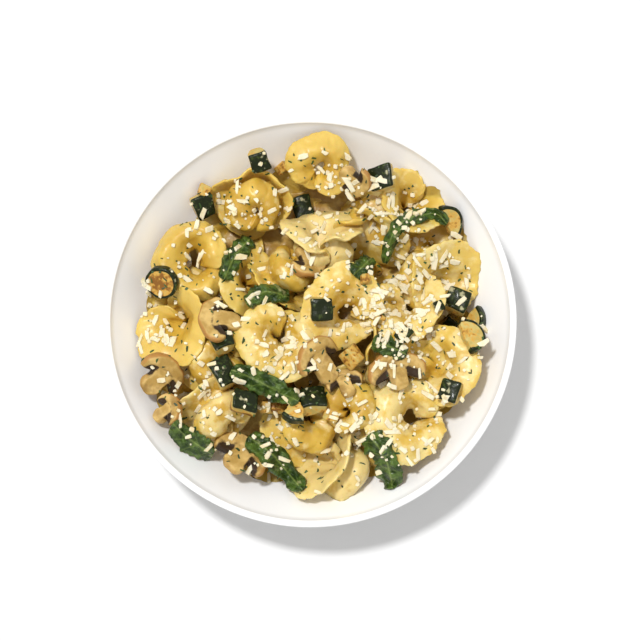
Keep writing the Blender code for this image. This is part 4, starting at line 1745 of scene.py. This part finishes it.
@dataclass(frozen=True)
class Scatter:
    """Small things strewn over the food, thicker in some places, joined as one mesh."""

    bit: Bit
    seed: int
    evenly: int
    clusters: tuple[Cluster, ...]
    reach: float = 93.0
    bare: ClassVar[tuple[str, ...]] = ("bowl", "bed")
    least_upward: ClassVar[float] = 0.25
    unlevel: ClassVar[float] = 0.16
    corners: ClassVar[tuple[Place, ...]] = (
        (-1.0, -0.8),
        (0.1, -1.0),
        (1.0, -0.75),
        (0.95, 0.8),
        (-0.2, 1.0),
        (-0.95, 0.75),
    )
    jitter: ClassVar[dict[Bit, float]] = {Bit.SHRED: 0.26, Bit.CRUMB: 0.2, Bit.FLECK: 0.42}

    def spots(self, rng: random.Random) -> Iterable[Place]:
        """Where the bits fall, first evenly and then in clusters.

        Args:
            rng: The source of chance.

        Yields:
            The places.
        """
        for _ in range(self.evenly):
            radius, angle = self.reach * math.sqrt(rng.random()), rng.uniform(0, 2 * math.pi)
            yield radius * math.cos(angle), radius * math.sin(angle)
        for x, y, spread, count in self.clusters:
            for _ in range(count):
                yield rng.gauss(x, spread), rng.gauss(y, spread)

    def outline(self, rng: random.Random) -> tuple[Array, float]:
        """Draws one bit.

        Args:
            rng: The source of chance.

        Returns:
            Its ragged outline and its thickness.
        """
        if self.bit is Bit.SHRED:
            length, breadth, thick = rng.uniform(2.8, 7.6), rng.uniform(1.7, 3.3), rng.uniform(0.9, 1.6)
            if rng.random() < 0.14:
                length *= 1.45
        elif self.bit is Bit.CRUMB:
            length = rng.uniform(0.9, 2.6)
            breadth, thick = length * rng.uniform(0.6, 1.0), length * rng.uniform(0.45, 0.8)
        else:
            length, breadth, thick = rng.uniform(0.9, 3.0), rng.uniform(0.5, 1.3), 0.3
        play = self.jitter[self.bit]
        ring = [(x + rng.uniform(-play, play), y + rng.uniform(-play, play)) for x, y in self.corners]
        return np.array(ring) * (length / 2, breadth / 2), thick

    def strewn(self, heap: Heap) -> Shape:
        """Strews the bits, leaving out those that miss the food or would slide off it.

        Args:
            heap: What is served already.

        Returns:
            The bits, as one shape.
        """
        rng = random.Random(self.seed)
        points: list[Array] = []
        faces: list[tuple[int, ...]] = []
        for x, y in list(self.spots(rng)):
            ring, thick = self.outline(rng)
            spin = rng.uniform(0, 2 * math.pi)
            tip, roll = rng.gauss(0, self.unlevel), rng.gauss(0, self.unlevel)
            under = heap.under(x, y)
            if under is None or under.name in self.bare or under.normal.z < self.least_upward:
                continue
            count = len(ring)
            small, top = ring * rng.uniform(0.8, 0.95), thick / 2
            levels = [(small, -top), (ring, -top * 0.6), (ring, top * 0.5), (small, top)]
            local = np.vstack([np.column_stack([loop, np.full(count, z)]) for loop, z in levels])
            arch = -0.02 * local[:, 0] ** 2 * rng.uniform(-0.5, 1.0)
            local[:, 2] += arch if self.bit is Bit.SHRED else 0.0
            turn = UP.rotation_difference((under.normal + UP * 0.6).normalized()).to_matrix()
            for angle, axis in ((spin, "Z"), (tip, "X"), (roll, "Y")):
                turn = turn @ Matrix.Rotation(angle, 3, axis)
            base = len(points) * len(levels) * count
            lifted = under.point + under.normal * (thick * 0.35)
            points.append(local @ np.array(turn).T + np.array(lifted))
            faces += [tuple(base + k for k in face) for face in ring_faces(len(levels), count)]
            faces.append(tuple(base + k for k in reversed(range(count))))
            faces.append(tuple(base + (len(levels) - 1) * count + k for k in range(count)))
        return Shape(np.concatenate(points), faces, smooth=False)


CLUSTERS: tuple[Cluster, ...] = (
    (59, -2, 10, 24),
    (45, -8, 8, 18),
    (40, 57, 7, 18),
    (57, 35, 10, 22),
    (32, 6, 9, 16),
    (11, 76, 9, 12),
    (-37, 62, 9, 12),
    (-59, 40, 8, 6),
    (-80, -2, 6, 8),
    (-13, -15, 8, 14),
    (-51, -42, 8, 12),
    (-21, -60, 8, 6),
    (27, -58, 7, 10),
    (51, -66, 10, 14),
    (0, 52, 8, 6),
)


def thicker(share: float) -> tuple[Cluster, ...]:
    """The clusters with this many times their counts."""
    return tuple((x, y, spread, round(count * share)) for x, y, spread, count in CLUSTERS)


# --- Camera, light and table ----------------------------------------------------------------


@dataclass(frozen=True)
class Studio:
    """A white table seen from nearly overhead, with a high key light from the back left."""

    aim: Triple = (5.2, 0.8, 45.0)
    elevation: float = 84.5
    distance: float = 2200.0
    view_width: float = 341.5
    sensor_width: float = 36.0
    sun_towards: Triple = (-0.23, 0.235, 0.956)
    sun_strength: float = 2.35
    sun_softness: float = 6.0
    sky: tuple[float, float, float, float] = (1.0, 0.995, 0.985, 1.0)
    sky_strength: float = 0.76
    table_half: float = 3000.0

    def build(self, finish: bpy.types.Material) -> None:
        """Sets up the camera, the lights and the table.

        Args:
            finish: The table's material.
        """
        self.camera()
        self.lights()
        half = self.table_half * MM
        corners = [(-half, -half, 0.0), (half, -half, 0.0), (half, half, 0.0), (-half, half, 0.0)]
        mesh = bpy.data.meshes.new("table_top")
        mesh.from_pydata(corners, [], [(0, 1, 2, 3)])
        mesh.materials.append(finish)
        table = bpy.data.objects.new("table_top", mesh)
        bpy.context.scene.collection.objects.link(table)

    def camera(self) -> None:
        """A long lens, so that the bowl's near and far rim look alike."""
        data = bpy.data.cameras.new("camera")
        data.sensor_width = self.sensor_width
        data.lens = self.sensor_width * self.distance / self.view_width
        camera = bpy.data.objects.new("camera", data)
        bpy.context.scene.collection.objects.link(camera)
        tilt = math.radians(self.elevation)
        back = Vector((0.0, -math.cos(tilt), math.sin(tilt)))
        camera.location = (Vector(self.aim) + back * self.distance) * MM
        camera.rotation_euler = (math.radians(90) - tilt, 0.0, 0.0)
        bpy.context.scene.camera = camera

    def lights(self) -> None:
        """A small sun and an even white sky."""
        sun = bpy.data.lights.new("key", "SUN")
        sun.energy = self.sun_strength
        sun.angle = math.radians(self.sun_softness)
        lamp = bpy.data.objects.new("key", sun)
        bpy.context.scene.collection.objects.link(lamp)
        lamp.rotation_euler = Vector(self.sun_towards).to_track_quat("Z", "Y").to_euler()
        world = bpy.data.worlds.new("sky")
        world.use_nodes = True
        background = world.node_tree.nodes["Background"]
        background.inputs["Color"].default_value = self.sky
        background.inputs["Strength"].default_value = self.sky_strength
        bpy.context.scene.world = world
        bpy.context.scene.view_settings.view_transform = "Standard"


def main() -> None:
    """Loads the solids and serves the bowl."""
    logging.basicConfig(level=logging.INFO, format="%(name)s %(message)s")
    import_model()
    finishes = {
        "tortellino": PastaFinish().material(),
        "mushroom": MushroomFinish().material(),
        "courgette": CourgetteFinish().material(),
    }
    slots = {"tortellino": "pasta", "mushroom": "mushroom", "courgette": "courgette"}
    heap = Heap()
    bowl = Bowl(*(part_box("bowl")[1] / MM).xz)
    bowl.shape().piece("glazed_bowl", GlazeFinish().material(), "ceramic", "bowl")
    heap.add(bowl.shape(), "bowl")
    level = Bed().solid()
    bed = Bed().shape(bowl, level)
    # The bed's dark brown finish is partly sauce and partly painted shade in the gaps between the
    # pieces.
    bed.piece("sauce_bed_with_painted_shade", SauceAndPaintedShadeFinish().material(), "cream", "pasta_bed")
    heap.add(bed, "bed")
    below = LowerLayer().shape(level, bowl)
    below.piece("pasta_below", finishes["tortellino"], "pasta")
    heap.add(below, "below")
    for food in SERVED:
        shape = heap.settled(food.laid(bowl))
        heap.add(shape, food.node)
        shape.piece(f"{food.kind}.{food.number:02d}", finishes[food.kind], slots[food.kind], food.node)
    spinach = SpinachFinish().material()
    for leaf in LEAVES:
        shape = leaf.draped(heap)
        heap.add(shape, leaf.node)
        shape.piece(f"leaf_{leaf.number:02d}", spinach, "spinach", leaf.node)
    scraps = Scraps().shape(heap)
    scraps.piece("courgette_scraps", finishes["courgette"], "courgette")
    heap.add(scraps, "scraps")
    cheese = CheeseFinish().material()
    toppings = (
        (Scatter(Bit.CRUMB, 5, 330, thicker(2.0)), cheese, "cream"),
        (Scatter(Bit.SHRED, 11, 190, thicker(0.85)), cheese, "cream"),
        (Scatter(Bit.FLECK, 23, 480, ()), ParsleyFinish().material(), "spinach"),
    )
    for scatter, finish, slot in toppings:
        scatter.strewn(heap).piece(scatter.bit.value, finish, slot)
    Studio().build(FloorFinish().material())


if __name__ == "__main__":
    main()
